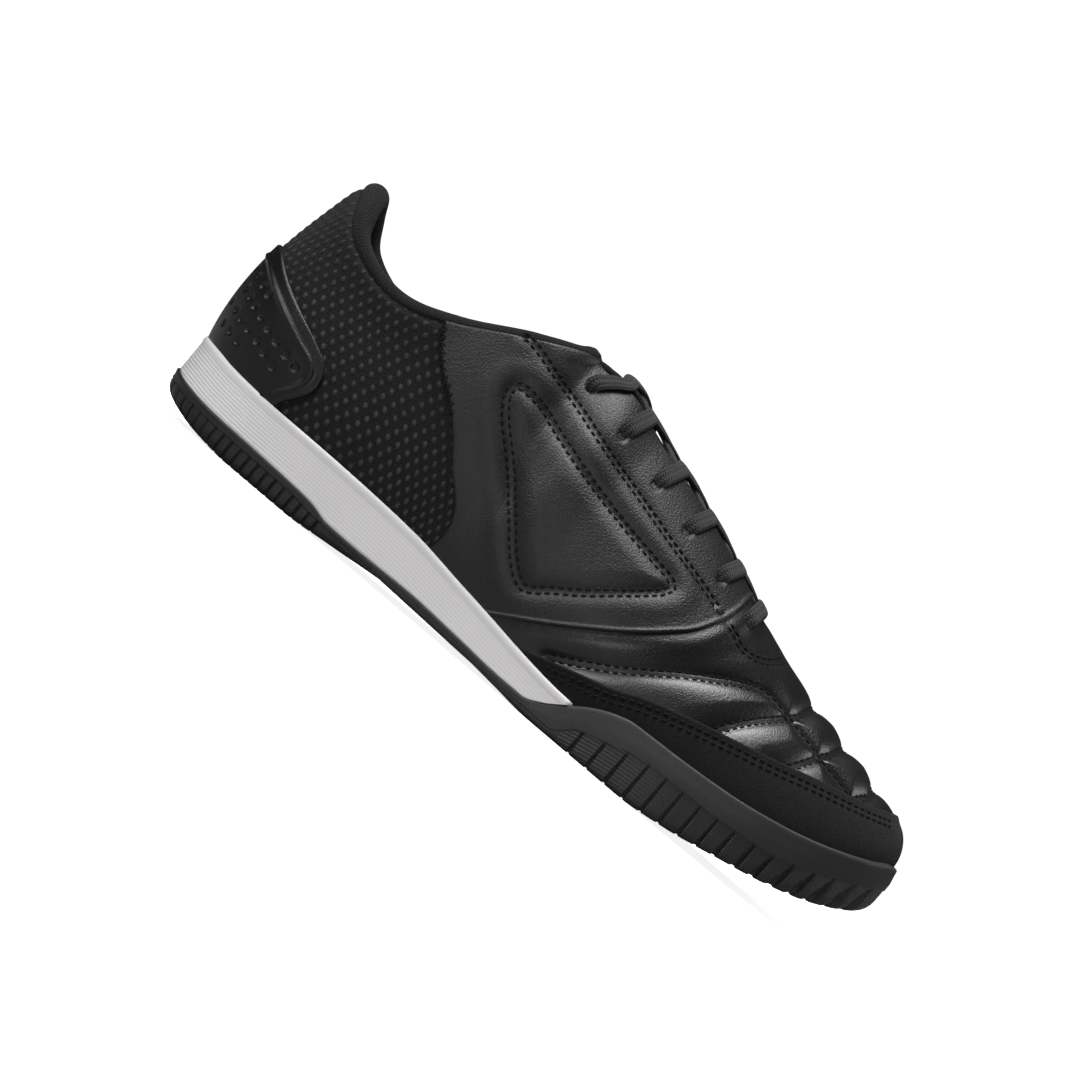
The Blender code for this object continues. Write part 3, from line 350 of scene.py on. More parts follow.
def texture_place(tree):
    """Sockets for the texture places x and y in millimetres."""
    parts = add(tree, "ShaderNodeSeparateXYZ", tree.nodes.new("ShaderNodeTexCoord").outputs["UV"])
    return parts.outputs[0], parts.outputs[1]


def between(tree, factor, dark, light):
    """A colour between two by a factor."""
    mix = tree.nodes.new("ShaderNodeMix")
    mix.data_type = "RGBA"
    tree.links.new(factor, mix.inputs["Factor"])
    mix.inputs[6].default_value, mix.inputs[7].default_value = (*dark, 1), (*light, 1)
    return mix.outputs[2]


def bump_from(tree, shader, height, distance):
    bump = tree.nodes.new("ShaderNodeBump")
    bump.inputs["Distance"].default_value = distance
    tree.links.new(height, bump.inputs["Height"])
    tree.links.new(bump.outputs["Normal"], shader.inputs["Normal"])


def group_of(name, inputs, outputs):
    """An empty shader node group with number inputs and named outputs."""
    tree = bpy.data.node_groups.new(name, "ShaderNodeTree")
    for socket, value in inputs.items():
        made = tree.interface.new_socket(socket, in_out="INPUT", socket_type="NodeSocketFloat")
        made.default_value = value
    for socket in outputs:
        tree.interface.new_socket(socket, in_out="OUTPUT", socket_type="NodeSocketFloat")
    return tree, tree.nodes.new("NodeGroupInput"), tree.nodes.new("NodeGroupOutput")


def place_group(tree, group, **values):
    node = tree.nodes.new("ShaderNodeGroup")
    node.node_tree = group
    for socket, value in values.items():
        node.inputs[socket].default_value = value
    return node


def make_mottle_group():
    """Uneven tone of a moulded, dyed or handled surface: broad patches and fine dust, 0 to 1."""
    tree, inside, outside = group_of("mottle", {"Patch": 40.0, "Dust": 900.0}, ["Tone", "Speck"])
    where = tree.nodes.new("ShaderNodeTexCoord").outputs["Object"]
    for socket, detail, output in (("Patch", 4.0, "Tone"), ("Dust", 2.0, "Speck")):
        noise = add(tree, "ShaderNodeTexNoise", where, Detail=detail, Roughness=0.6)
        tree.links.new(inside.outputs[socket], noise.inputs["Scale"])
        tree.links.new(noise.outputs["Fac"], outside.inputs[output])
    return tree


MOTTLE = make_mottle_group()


def make_rubber():
    """Grey-black rubber with the mould's fine hatching on the ribs. Texture y is 1000 + height on the ribs."""
    material, tree, shader = new_finish("outsole_rubber", (0.030, 0.030, 0.031), 0.52, Specular_IOR_Level=0.45)
    x, y = texture_place(tree)
    mottle = place_group(tree, MOTTLE, Patch=55.0, Dust=1400.0)
    # Painted light: the rubber is painted lighter towards the forefoot, where more light falls; the rubber itself is
    # one colour.
    painted_forefoot_light = add(tree, "ShaderNodeMapRange", x, 90.0, 200.0, 0.0, 0.6).outputs[0]
    tone = maths(tree, "MULTIPLY_ADD", mottle.outputs["Tone"], 0.5, painted_forefoot_light)
    tree.links.new(between(tree, tone, (0.006, 0.006, 0.0065), (0.040, 0.040, 0.041)), shader.inputs["Base Color"])
    on_rib = maths(tree, "GREATER_THAN", y, 500.0)
    toeward = add(tree, "ShaderNodeMapRange", x, 196.0, 222.0, 0.0, 1.0).outputs[0]
    slant = maths(tree, "SINE", maths(tree, "ADD", maths(tree, "MULTIPLY", x, 4.6), maths(tree, "MULTIPLY", y, 6.4)))
    middle = maths(tree, "SUBTRACT", x, 215.0)
    arch = maths(tree, "ADD", y, maths(tree, "MULTIPLY", maths(tree, "MULTIPLY", middle, middle), 0.0032))
    arches = maths(tree, "SINE", maths(tree, "MULTIPLY", arch, 5.2))
    heelward = maths(tree, "SUBTRACT", 1.0, toeward)
    both = maths(tree, "ADD", maths(tree, "MULTIPLY", slant, toeward), maths(tree, "MULTIPLY", arches, heelward))
    hatch = maths(tree, "MULTIPLY", maths(tree, "MULTIPLY", both, on_rib), maths(tree, "GREATER_THAN", x, 176.0))
    grain = maths(tree, "MULTIPLY", mottle.outputs["Speck"], 0.8)
    bump_from(tree, shader, maths(tree, "ADD", maths(tree, "MULTIPLY", hatch, 0.5), grain), 0.00016)
    tree.links.new(maths(tree, "MULTIPLY_ADD", mottle.outputs["Speck"], 0.22, 0.42), shader.inputs["Roughness"])
    return material


def foot_run(count=4001):
    """Shares of the way from heel to toe, the distance along the feather line to them and the sole's x there."""
    u = np.linspace(0, 1, count)
    run = np.cumsum(np.linalg.norm(np.diff(feather(u)[0], axis=0), axis=1))
    return u, np.concatenate([[0], run]), np.maximum.accumulate(offset_plan(u, overhang(u))[:, 0])


def sole_stations(pitch, marks=(), spread=()):
    """Shares of the way at an even pitch along the sole, closer at the marked places."""
    u, run, x = foot_run()
    even = np.interp(np.arange(0, run[-1], pitch), run, u)
    close = [np.interp(np.interp(mark * 0.001, x, run) + step * 0.001, run, u) for mark in marks for step in spread]
    return np.unique(np.round(np.concatenate([even, close, [0.0, 1.0]]), 5))


def upper_clearance(q, height):
    """Plan distance from the feather line at which the last passes that height."""
    v = np.linspace(0, 0.8, 161)
    points = form(np.asarray(q)[:, None], v[None, :])
    first = np.argmax(points[..., 2] > np.asarray(height)[:, None], axis=1)
    point = points[np.arange(len(q)), first]
    plan, out = feather(q)
    return ((point[:, :2] - plan) * out).sum(1) + 0.0006


SOLE_ROUND = np.linspace(0, pi / 2, 8)
# Slits nick the edge of the tread by a share of their depth. The tread's two grooves lie at shares of the way from
# its edge to the middle, and the small studs end where the forefoot begins.
NOTCH_SHARE, GROOVES, GROOVE_DEPTH, STUDS_END = 0.2, (0.34, 0.72), 0.0011, 0.18


def sole_flare(q):
    return overhang(split(q)[0])


def outsole_side(q, tread_rows):
    """Section of the outsole on one side, from the bed over the wall and down to the middle of the tread."""
    u = split(q)[0]
    flare = sole_flare(q)
    side_x = offset_plan(q, flare)[:, 0]
    wall, bed = wall_height(side_x), bed_height(side_x)
    cup = np.clip((wall - bed) / 0.003, 0, 1)
    clear = upper_clearance(q, np.maximum(wall, rim_height(side_x)))
    inner_top = np.maximum(cup * clear, 0.0019)
    top_out = np.maximum(flare - cup * np.maximum(0, flare - clear - 0.0026) * 0.6, inner_top + 0.0014)
    inset, rise = edge_inset(u), edge_rise(u)
    rib_top = rib_top_height(side_x)
    low = tread_height(offset_plan(q, flare - inset)[:, 0])
    side_up = np.minimum(low + rise, wall - 0.0012)
    wedge = share_between(0.225, 0.265, side_x)
    rows, textures = [], []

    def slits(share):
        """Depth of the slits' cut, which is widest at the bottom, where share is 1."""
        lean = 0.0009 * wedge * (0.5 - share)
        half = 0.00042 + (0.00012 + 0.00075 * wedge) * share
        toe = sum(1 - share_between(0.55, 1.25, np.abs(side_x - lean - mark * 0.001) / half) for mark in TOE_SLITS)
        heel = sum(1 - share_between(0.5, 1.3, np.abs(side_x - mark * 0.001) / 0.0004) for mark in HEEL_SLITS)
        return (0.0021 + 0.0007 * wedge) * toe + 0.0011 * heel

    def row(distance, height, cut=0.0, rib=0.0):
        rows.append(at_height(offset_plan(q, distance - cut), height))
        textures.append(np.stack([side_x * 1000, height * 1000 + 1000 * (rib > 0)], -1))

    row(0.0013 + 0 * q, bed)
    row(inner_top, np.maximum(wall - 0.0008, bed))
    row(inner_top + 0.0003, wall - 0.0001)
    row((inner_top + top_out) / 2, wall + 0.00015)
    row(top_out - 0.0003, wall - 0.0001)
    row(top_out, wall - 0.0005)
    ledge = np.minimum(rib_top, wall - 0.0013)
    for share in np.linspace(0, 1, 9)[1:]:
        height = wall - 0.0006 + (ledge - wall + 0.0006) * share
        reach = top_out + (flare - top_out) * min(1.0, share * 1.6)
        row(reach, height)
    bottom_of_side = np.minimum(side_up, ledge - 0.0008)
    for share in (0.0, 0.06, 0.16, 0.30, 0.45, 0.6, 0.8, 1.0):
        height = ledge - 0.0001 + (bottom_of_side - ledge) * share
        depth = share_between(0.0, 0.22, share) * (0.55 + 0.45 * share)
        row(flare - 0.00035 * (share > 0), height, depth * slits(share), 1.0)
    for angle in SOLE_ROUND[1:]:
        reach = flare - 0.00035 - inset * (1 - cos(angle))
        height = bottom_of_side + (low - bottom_of_side) * sin(angle)
        cut = slits(1.0)
        row(reach - cut * cos(angle), height + NOTCH_SHARE * cut * sin(angle), rib=1.0)
    edge = offset_plan(q, flare - 0.00035 - inset)
    centre = (rail("inner", u) - rail("outer", u)) / 2
    for share in tread_rows:
        plan = edge + (np.stack([edge[:, 0], centre], -1) - edge) * share
        plan[:, 0] = edge[:, 0] + (rail("foot", u) - edge[:, 0]) * share
        groove = GROOVE_DEPTH * sum(max(0.0, 1 - abs(share - middle) / 0.022) for middle in GROOVES)
        stud = 0.0004 * share_between(0.02, 0.05, share) * (0.5 + 0.5 * np.sin(edge[:, 0] * 2 * pi / 0.0034))
        raised = np.maximum(NOTCH_SHARE * slits(1.0), groove) + stud * (side_x < STUDS_END)
        rows.append(at_height(plan, tread_height(plan[:, 0]) + raised))
        textures.append(np.stack([side_x * 1000, plan[:, 1] * 1000], -1))
    return np.stack(rows, 1), np.stack(textures, 1)


TREAD_SHARES = [
    0.03, 0.07, 0.14, 0.20, 0.26, 0.31, 0.325, 0.34, 0.355, 0.37, 0.44, 0.52, 0.60, 0.68, 0.705, 0.72, 0.735, 0.76,
    0.84, 0.92, 1.0,
]
outsole_u = sole_stations(0.0011, TOE_SLITS, (-1.5, -1.1, -0.8, -0.55, -0.3, 0, 0.3, 0.55, 0.8, 1.1, 1.5))
outsole_u = np.unique(np.concatenate([outsole_u, sole_stations(0.0011, HEEL_SLITS, (-0.55, -0.3, 0, 0.3, 0.55))]))
outsole_parts = []
for q in (outsole_u, 2 - outsole_u):
    section, texture = outsole_side(q, TREAD_SHARES)
    outsole_parts.append(grid(section, texture, core=section.mean(1, keepdims=True) * [1, 1, 0] + [0, 0, 0.012]))
outsole = make_piece("outsole_rubber", outsole_parts, [make_rubber()], weld=1e-5)
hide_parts("outsole")


# ---- Midsole -----------------------------------------------------------------------------------------------
# White foam, moulded with a rounded lip round its upper edge and fine lines along its side. The upper is
# cemented into its rim, and the outsole's cup hides its front.
def make_foam():
    """White foam. Texture y is millimetres below the rim, so that the lines keep to the edge."""
    material, tree, shader = new_finish("midsole_foam", (0.80, 0.78, 0.78), 0.55, Specular_IOR_Level=0.35)
    x, y = texture_place(tree)
    mottle = place_group(tree, MOTTLE, Patch=25.0, Dust=700.0)
    below_lip = maths(tree, "GREATER_THAN", y, 3.1)
    lines = maths(tree, "POWER", maths(tree, "ABSOLUTE", maths(tree, "SINE", maths(tree, "MULTIPLY", y, 2.9))), 0.6)
    near_heel = maths(tree, "SUBTRACT", 0.85, maths(tree, "MULTIPLY", x, 0.012))
    shown = maths(tree, "MULTIPLY", below_lip, maths(tree, "MAXIMUM", near_heel, 0.14))
    # The fine lines are grooves in the bump, and painted shade also darkens the foam's colour in them.
    groove_and_painted_shade = maths(tree, "MULTIPLY", maths(tree, "SUBTRACT", 1.0, lines), shown)
    tone = maths(tree, "MULTIPLY_ADD", groove_and_painted_shade, 0.55, maths(tree, "MULTIPLY", mottle.outputs["Tone"], 0.25))
    tree.links.new(between(tree, tone, (0.90, 0.88, 0.885), (0.66, 0.64, 0.65)), shader.inputs["Base Color"])
    height = maths(tree, "SUBTRACT", maths(tree, "MULTIPLY", mottle.outputs["Speck"], 0.15), groove_and_painted_shade)
    bump_from(tree, shader, height, 0.00025)
    return material


def midsole_side(q):
    """Section of the midsole on one side, from the recess for the upper over the lip and down its side."""
    flare = sole_flare(q)
    x = offset_plan(q, flare)[:, 0]
    wall, rim = wall_height(x), rim_height(x)
    seen = np.clip((rim - wall - 0.0004) / 0.0012, 0, 1)
    full = 0.0012 + seen * (flare - 0.0012)
    clear = upper_clearance(q, np.maximum(wall, rim))
    bottom = np.minimum(wall, rim - 0.0011)
    recess = feather_height(x) - 0.0003
    rows, textures = [], []

    def row(distance, height):
        rows.append(at_height(offset_plan(q, distance), height))
        textures.append(np.stack([x * 1000, (rim - height) * 1000], -1))

    row(seen * 0.0004 - (1 - seen) * 0.0016, np.minimum(recess, rim))
    row(seen * clear - (1 - seen) * 0.0008, rim - 0.0003)
    row(np.minimum(seen * clear, full - 0.0009) + 0.0002, rim)
    for angle in np.linspace(0, pi / 2, 6):
        row(full - 0.0009 * (1 - sin(angle)), rim - 0.0011 * (1 - cos(angle)))
    depth = rim - 0.0011 - bottom
    for share in np.linspace(0, 1, 18)[1:]:
        below = 0.0011 + depth * share
        lip = 0.00030 * share_between(0.0021, 0.0027, below) * seen
        row(full - lip, rim - below)
    row(0.0012 + 0 * q, bottom)
    return np.stack(rows, 1), np.stack(textures, 1)


midsole_u = sole_stations(0.0016, np.arange(155, 180, 1.0), (0,))
midsole_parts = []
for q in (midsole_u, 2 - midsole_u):
    section, texture = midsole_side(q)
    midsole_parts.append(grid(section, texture, core=section.mean(1, keepdims=True) * [0.9, 0.8, 1]))
midsole = make_piece("midsole_foam", midsole_parts, [make_foam()], weld=1e-5)
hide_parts("midsole")


# ---- Insole ------------------------------------------------------------------------------------------------
# A thin foam sheet faced with dark textile, laid loose on the midsole inside the upper. Its solid has the
# right shape and stays.
def make_knit_group():
    """Rows of knitted loops from texture places in millimetres: Height of the loops, and Tone, the yarn's uneven tone
    with painted shade between the loops.
    """
    tree, inside, outside = group_of("knit", {"Wale": 1.1, "Course": 0.9}, ["Height", "Tone"])
    x, y = texture_place(tree)
    wale = maths(tree, "DIVIDE", x, inside.outputs["Wale"])
    across = maths(tree, "ABSOLUTE", maths(tree, "SUBTRACT", maths(tree, "FRACT", wale), 0.5))
    course = maths(tree, "ADD", maths(tree, "DIVIDE", y, inside.outputs["Course"]), across)
    loop = maths(tree, "MULTIPLY", maths(tree, "SINE", maths(tree, "MULTIPLY", course, 6.2832)), 0.5)
    tree.links.new(maths(tree, "SUBTRACT", loop, maths(tree, "MULTIPLY", across, 1.2)), outside.inputs["Height"])
    where = tree.nodes.new("ShaderNodeTexCoord").outputs["Object"]
    yarn = add(tree, "ShaderNodeTexNoise", where, Scale=1500.0, Detail=3.0)
    # Painted shade: the tone is darker between the loops and lighter on their crests, over the yarn's random tone.
    tree.links.new(maths(tree, "MULTIPLY_ADD", loop, 0.5, yarn.outputs["Fac"]), outside.inputs["Tone"])
    return tree


KNIT = make_knit_group()


def make_textile(name, dark, light, wale, course, depth=0.0003, sheen=0.25):
    material, tree, shader = new_finish(
        name, dark, 0.9, Sheen_Weight=sheen, Sheen_Roughness=0.5, Specular_IOR_Level=0.2)
    knit = place_group(tree, KNIT, Wale=wale, Course=course)
    tree.links.new(between(tree, knit.outputs["Tone"], dark, light), shader.inputs["Base Color"])
    bump_from(tree, shader, knit.outputs["Height"], depth)
    return material


lining_textile = make_textile("lining_textile", (0.007, 0.007, 0.0075), (0.022, 0.022, 0.023), 1.3, 1.0)
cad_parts["insole"].material_slots[0].material = lining_textile


# ---- Lining ------------------------------------------------------------------------------------------------
# Dark textile lining of the whole upper, sewn to the collar and to the edges of the throat. It is what shows
# when one looks into the shoe.
THROAT_FRONT, THROAT_HALF_WIDTH = 0.732 * LENGTH, 0.0135
UPPER_WALL = 0.0022


def throat_half_width(x):
    share = np.clip((THROAT_FRONT - x) / (0.32 * LENGTH), 0, 1)
    return THROAT_HALF_WIDTH * (0.30 * share + 0.70 * np.sqrt(np.clip(share * 6, 0, 1)))


def throat_table():
    """v of the throat's edge, at shares of the way from heel to toe, on the outer and inner side."""
    u, v = np.linspace(0, 1, 1601), np.linspace(0.4, 1, 241)
    rows = slice(RIDGE_ROW, RIDGE_ROW + 7)
    table = []
    for q in (u, 2 - u):
        points = form(q[:, None], v[None, :])
        ridge = np.interp(points[..., 0], RAILS["top"][0][rows], RAILS["top_inner"][0][rows])
        past = np.abs(points[..., 1] - ridge) - throat_half_width(points[..., 0])
        first = np.argmax(past < 0, axis=1)
        i = np.arange(len(u))
        before, after = past[i, np.maximum(first - 1, 0)], past[i, first]
        share = np.where(first > 0, before / np.where(before == after, 1, before - after), 0)
        edge = v[np.maximum(first - 1, 0)] + share * (v[1] - v[0])
        closed = (past.min(axis=1) >= 0) | (rail("top", u) >= THROAT_FRONT) | (rail("top", u) < 0.33 * LENGTH)
        table.append(np.where(closed, 1.0, edge))
    return u, table


THROAT_U, THROAT_V = throat_table()


def throat_edge(q):
    """v at which the upper ends: the throat's edge, or the collar or the ridge where there is no throat."""
    u, sign = split(q)
    return np.where(sign < 0, np.interp(u, THROAT_U, THROAT_V[0]), np.interp(u, THROAT_U, THROAT_V[1]))


def millimetres(points):
    """Texture places of a grid: how far along its first side and up its second, in millimetres."""
    along = np.linalg.norm(np.diff(points, axis=0), axis=-1)
    up = np.linalg.norm(np.diff(points, axis=1), axis=-1)
    middle = np.cumsum(np.concatenate([[0], along[:, along.shape[1] // 2]]))
    rise = np.concatenate([np.zeros((len(points), 1)), np.cumsum(up, axis=1)], 1)
    return np.stack([np.broadcast_to(middle[:, None], rise.shape), rise], -1) * 1000


lining_q = np.concatenate([sole_stations(0.003), 2 - sole_stations(0.003)[-2::-1]])
lining_v = np.linspace(0, 1, 46)[None, :] * (throat_edge(lining_q)[:, None] - 0.004) + 0.002
lining_out = outward(lining_q[:, None], np.minimum(lining_v, 0.96))
lining_points = form(lining_q[:, None], lining_v) - lining_out * (UPPER_WALL + 0.0004)
lining = make_piece("lining_shell", [grid(lining_points, millimetres(lining_points))], [lining_textile])


# ---- Mesh heel -----------------------------------------------------------------------------------------------
# Black mesh with a raised dot pattern, padded under the collar. It wraps the heel as one piece and its front
# edges lie under the leather quarters.
DOT_ROWS, DOT_COLUMNS, DOT_WIDTH, DOT_HEIGHT = 2.95, 4.25, 0.22, 0.41


def u_at_top(x):
    us = np.linspace(0, 1, 4001)
    return float(us[np.argmax(rail("top", us) >= x)])


def make_mesh_textile():
    """Mesh: staggered raised dots from texture places in millimetres, on fine vertical cords."""
    material, tree, shader = new_finish(
        "heel_mesh", (0.02, 0.02, 0.021), 0.8, Sheen_Weight=0.04, Specular_IOR_Level=0.3)
    x, y = texture_place(tree)
    mottle = place_group(tree, MOTTLE, Patch=70.0, Dust=1500.0)
    row = maths(tree, "DIVIDE", y, DOT_ROWS)
    half = maths(tree, "MULTIPLY", maths(tree, "MODULO", maths(tree, "FLOOR", row), 2.0), 0.5)
    column = maths(tree, "ADD", maths(tree, "DIVIDE", x, DOT_COLUMNS), half)
    across = maths(tree, "DIVIDE", maths(tree, "SUBTRACT", maths(tree, "FRACT", column), 0.5), DOT_WIDTH)
    up = maths(tree, "DIVIDE", maths(tree, "SUBTRACT", maths(tree, "FRACT", row), 0.5), DOT_HEIGHT)
    spread = maths(tree, "ADD", maths(tree, "MULTIPLY", across, across), maths(tree, "MULTIPLY", up, up))
    dot = maths(tree, "MAXIMUM", maths(tree, "SUBTRACT", 1.0, spread), 0.0)
    cords = maths(tree, "SINE", maths(tree, "MULTIPLY", x, 2 * pi / 0.85))
    weave = maths(tree, "MULTIPLY", cords, maths(tree, "SINE", maths(tree, "MULTIPLY", y, 2 * pi / 0.95)))
    fuzz = maths(tree, "MULTIPLY", mottle.outputs["Speck"], 0.25)
    height = maths(tree, "ADD", dot, maths(tree, "MULTIPLY_ADD", weave, 0.20, fuzz))
    # The dots' tone, uneven at random, is full at 56 mm high and fades to about a third at 84 mm.
    low = add(tree, "ShaderNodeMapRange", y, 56.0, 84.0, 1.0, 0.35).outputs[0]
    dot_tone_by_height = maths(tree, "MULTIPLY", maths(tree, "MULTIPLY", mottle.outputs["Tone"], 1.3), low)
    tone = maths(tree, "MULTIPLY", maths(tree, "POWER", dot, 0.6), dot_tone_by_height)
    tree.links.new(between(tree, tone, (0.006, 0.006, 0.0068), (0.072, 0.072, 0.078)), shader.inputs["Base Color"])
    bump_from(tree, shader, height, 0.00045)
    return material


def sole_edge_v(q):
    """v at which a panel comes clear of the sole's edge."""
    q = np.atleast_1d(q)
    x = offset_plan(q, sole_flare(q))[:, 0]
    top = np.maximum(rim_height(x), wall_height(x))
    v = np.linspace(0, 0.8, 401)
    heights = form(q[:, None], v[None, :])[..., 2]
    return v[np.argmax(heights > top[:, None], axis=1)]


mesh_end = u_at_top(0.106)
mesh_q = np.linspace(-mesh_end, mesh_end, 500)
mesh_low = np.maximum(sole_edge_v(mesh_q) - 0.06, 0.0)
mesh_v = mesh_low[:, None] + (1 - mesh_low[:, None]) * np.linspace(0, 1, 160)[None, :]
mesh_places = form(mesh_q[:, None], mesh_v)
under_collar = np.exp(-((1 - mesh_v) / 0.16) ** 2) * 0.0012
mesh_texture = millimetres(mesh_places)
mesh_texture[..., 1] = mesh_places[..., 2] * 1000
dot_row = mesh_texture[..., 1] / DOT_ROWS
dot_column = mesh_texture[..., 0] / DOT_COLUMNS + np.floor(dot_row) % 2 / 2
dots = np.maximum(1 - ((dot_column % 1 - 0.5) / DOT_WIDTH) ** 2 - ((dot_row % 1 - 0.5) / DOT_HEIGHT) ** 2, 0)
raised = 0.00022 * dots * share_between(0, 0.05, 1 - mesh_v)
mesh_points = lifted(mesh_q[:, None], mesh_v, 0.0003 + raised + under_collar * (1 - share_between(0.94, 1.0, mesh_v)))
heel_mesh = make_piece("heel_mesh", [grid(mesh_points, mesh_texture)], [make_mesh_textile()])
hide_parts("upper")


# ---- Vamp ------------------------------------------------------------------------------------------------------
# Thin black leather over the ball and toe, quilted over foam: double rows of stitching pull it down along
# curved and crossing seams, and it swells between them. It closes in front of the throat.
THREAD_PITCH, THREAD_LENGTH, THREAD_RADIUS, ROW_SPACING = 0.0029, 0.0022, 0.00042, 0.0022
VAMP_SWEEP = [
    (157, 19), (166, 24), (176, 30), (185, 36.4), (194, 43), (203, 48.6), (211, 53.3), (217, 55.6), (224, 55.2),
    (232, 53.4), (240, 51.7), (248, 49.8), (256, 48.2), (262, 46.5),
]
VAMP_ACROSS = [
    [(212, 33), (215, 38.6), (218.3, 43.2), (223.3, 49), (227.5, 53.2), (231, 56.8)],
    [(235.5, 38), (238.3, 41.5), (241.7, 46.5), (244.2, 50.7), (247, 54.2)],
    [(258.5, 44), (261, 47), (263, 49.4), (265.3, 51.8)],
]
EYESTAY_TURN = [(193.5, 63.2), (198, 62.2), (203.5, 60.6), (208.5, 61.2), (212.5, 63.4), (214.8, 66.2)]


def make_leather_group():
    """Fine pebbled grain of leather: Height of the pebbles, and Tone across the hide."""
    tree, inside, outside = group_of("leather_grain", {"Grain": 1300.0, "Pores": 3200.0}, ["Height", "Tone"])
    where = tree.nodes.new("ShaderNodeTexCoord").outputs["Object"]
    bend = add(tree, "ShaderNodeTexNoise", where, Scale=900.0, Detail=1.0)
    moved = tree.nodes.new("ShaderNodeVectorMath")
    moved.operation = "MULTIPLY_ADD"
    tree.links.new(bend.outputs["Color"], moved.inputs[0])
    moved.inputs[1].default_value = (0.0005, 0.0005, 0.0005)
    tree.links.new(where, moved.inputs[2])
    pebbles = tree.nodes.new("ShaderNodeTexVoronoi")
    pebbles.feature = "SMOOTH_F1"
    tree.links.new(moved.outputs[0], pebbles.inputs["Vector"])
    tree.links.new(inside.outputs["Grain"], pebbles.inputs["Scale"])
    pores = add(tree, "ShaderNodeTexNoise", where, Detail=2.0)
    tree.links.new(inside.outputs["Pores"], pores.inputs["Scale"])
    height = maths(tree, "SUBTRACT", maths(tree, "MULTIPLY", pores.outputs["Fac"], 0.35), pebbles.outputs["Distance"])
    tree.links.new(height, outside.inputs["Height"])
    hide = add(tree, "ShaderNodeTexNoise", where, Scale=38.0, Detail=5.0, Roughness=0.65)
    tree.links.new(hide.outputs["Fac"], outside.inputs["Tone"])
    return tree


LEATHER = make_leather_group()


def make_leather(name, dark, light, roughness, grain, depth, coat=0.12):
    material, tree, shader = new_finish(
        name, dark, roughness, Specular_IOR_Level=0.45, Coat_Weight=coat, Coat_Roughness=0.28)
    leather = place_group(tree, LEATHER, Grain=grain)
    tree.links.new(between(tree, leather.outputs["Tone"], dark, light), shader.inputs["Base Color"])
    uneven = maths(tree, "MULTIPLY_ADD", leather.outputs["Tone"], 0.22, roughness - 0.11)
    tree.links.new(uneven, shader.inputs["Roughness"])
    bump_from(tree, shader, leather.outputs["Height"], depth)
    return material


def make_thread(name, colour):
    """Twisted thread: its plies slant across the stitch."""
    material, tree, shader = new_finish(name, colour, 0.75, Specular_IOR_Level=0.25)
    x, y = texture_place(tree)
    ply = maths(tree, "SINE", maths(tree, "MULTIPLY", maths(tree, "ADD", x, maths(tree, "MULTIPLY", y, 0.6)), 11.0))
    bump_from(tree, shader, ply, 0.0001)
    # Painted shade: the thread's colour is darker in the grooves between its plies and lighter on their crests.
    lighter = tuple(min(1.0, c * 1.6 + 0.004) for c in colour)
    tone = maths(tree, "MULTIPLY_ADD", ply, 0.5, 0.5)
    tree.links.new(between(tree, tone, colour, lighter), shader.inputs["Base Color"])
    return material


vamp_leather = make_leather(
    "vamp_leather", (0.006, 0.006, 0.0065), (0.011, 0.011, 0.012), 0.36, 1700.0, 0.00011, coat=0.30)
thread = make_thread("black_thread", (0.006, 0.006, 0.0065))


def side_lookup(side):
    """A tree of side-view places of the last on one side, with their q and v."""
    us, vs = np.linspace(0.0, 1, 521), np.linspace(0.0, 1, 141)
    u, v = (values.ravel() for values in np.meshgrid(us, vs, indexing="ij"))
    q = u if side < 0 else 2 - u
    points = form(q, v)
    tree = KDTree(len(points))
    for number, (x, _, z) in enumerate(points):
        tree.insert((x, z, 0), number)
    tree.balance()
    return tree, q, v


SIDE_LOOKUPS = {side: side_lookup(side) for side in (-1, 1)}


def on_last(side, places):
    """q and v of the points of the last that one sees at those side-view places, given in metres."""
    tree, qs, vs = SIDE_LOOKUPS[side]
    nearest = [tree.find((x, z, 0))[1] for x, z in places]
    q, v = qs[nearest].copy(), vs[nearest].copy()
    for _ in range(6):
        here = form(q, v)[:, [0, 2]]
        by_q = (form(q + 1e-4, v)[:, [0, 2]] - here) / 1e-4
        by_v = (form(q, v + 1e-4)[:, [0, 2]] - here) / 1e-4
        miss = places - here
        size = by_q[:, 0] * by_v[:, 1] - by_q[:, 1] * by_v[:, 0]
        size = np.where(np.abs(size) < 1e-4, 1e-4 * np.where(size < 0, -1, 1), size)
        q += np.clip((miss[:, 0] * by_v[:, 1] - miss[:, 1] * by_v[:, 0]) / size, -0.004, 0.004)
        v = np.clip(v + np.clip((by_q[:, 0] * miss[:, 1] - by_q[:, 1] * miss[:, 0]) / size, -0.02, 0.02), 0, 1)
    return q, v


def bend_through(rows, step=0.6):
    """A smooth line through (x, z) rows in millimetres, in metres, with a point every step."""
    rows = np.array(rows, float)
    run = np.concatenate([[0], np.cumsum(np.linalg.norm(np.diff(rows, axis=0), axis=1))])
    slopes = np.gradient(rows, run, axis=0)
    at = np.linspace(0, run[-1], int(run[-1] / step) + 2)
    return np.stack([cubic(run, rows[:, k], slopes[:, k], at) for k in (0, 1)], 1) * 0.001


def seam_line(rows, side):
    """A drawn line as q and v on the last."""
    return on_last(side, bend_through(rows))


def nearest_distance(points, line):
    """Distance from each point of an array to a line of points."""
    tree = KDTree(len(line))
    for number, place in enumerate(line):
        tree.insert(place, number)
    tree.balance()
    return np.array([tree.find(place)[2] for place in points.reshape(-1, 3)]).reshape(points.shape[:-1])


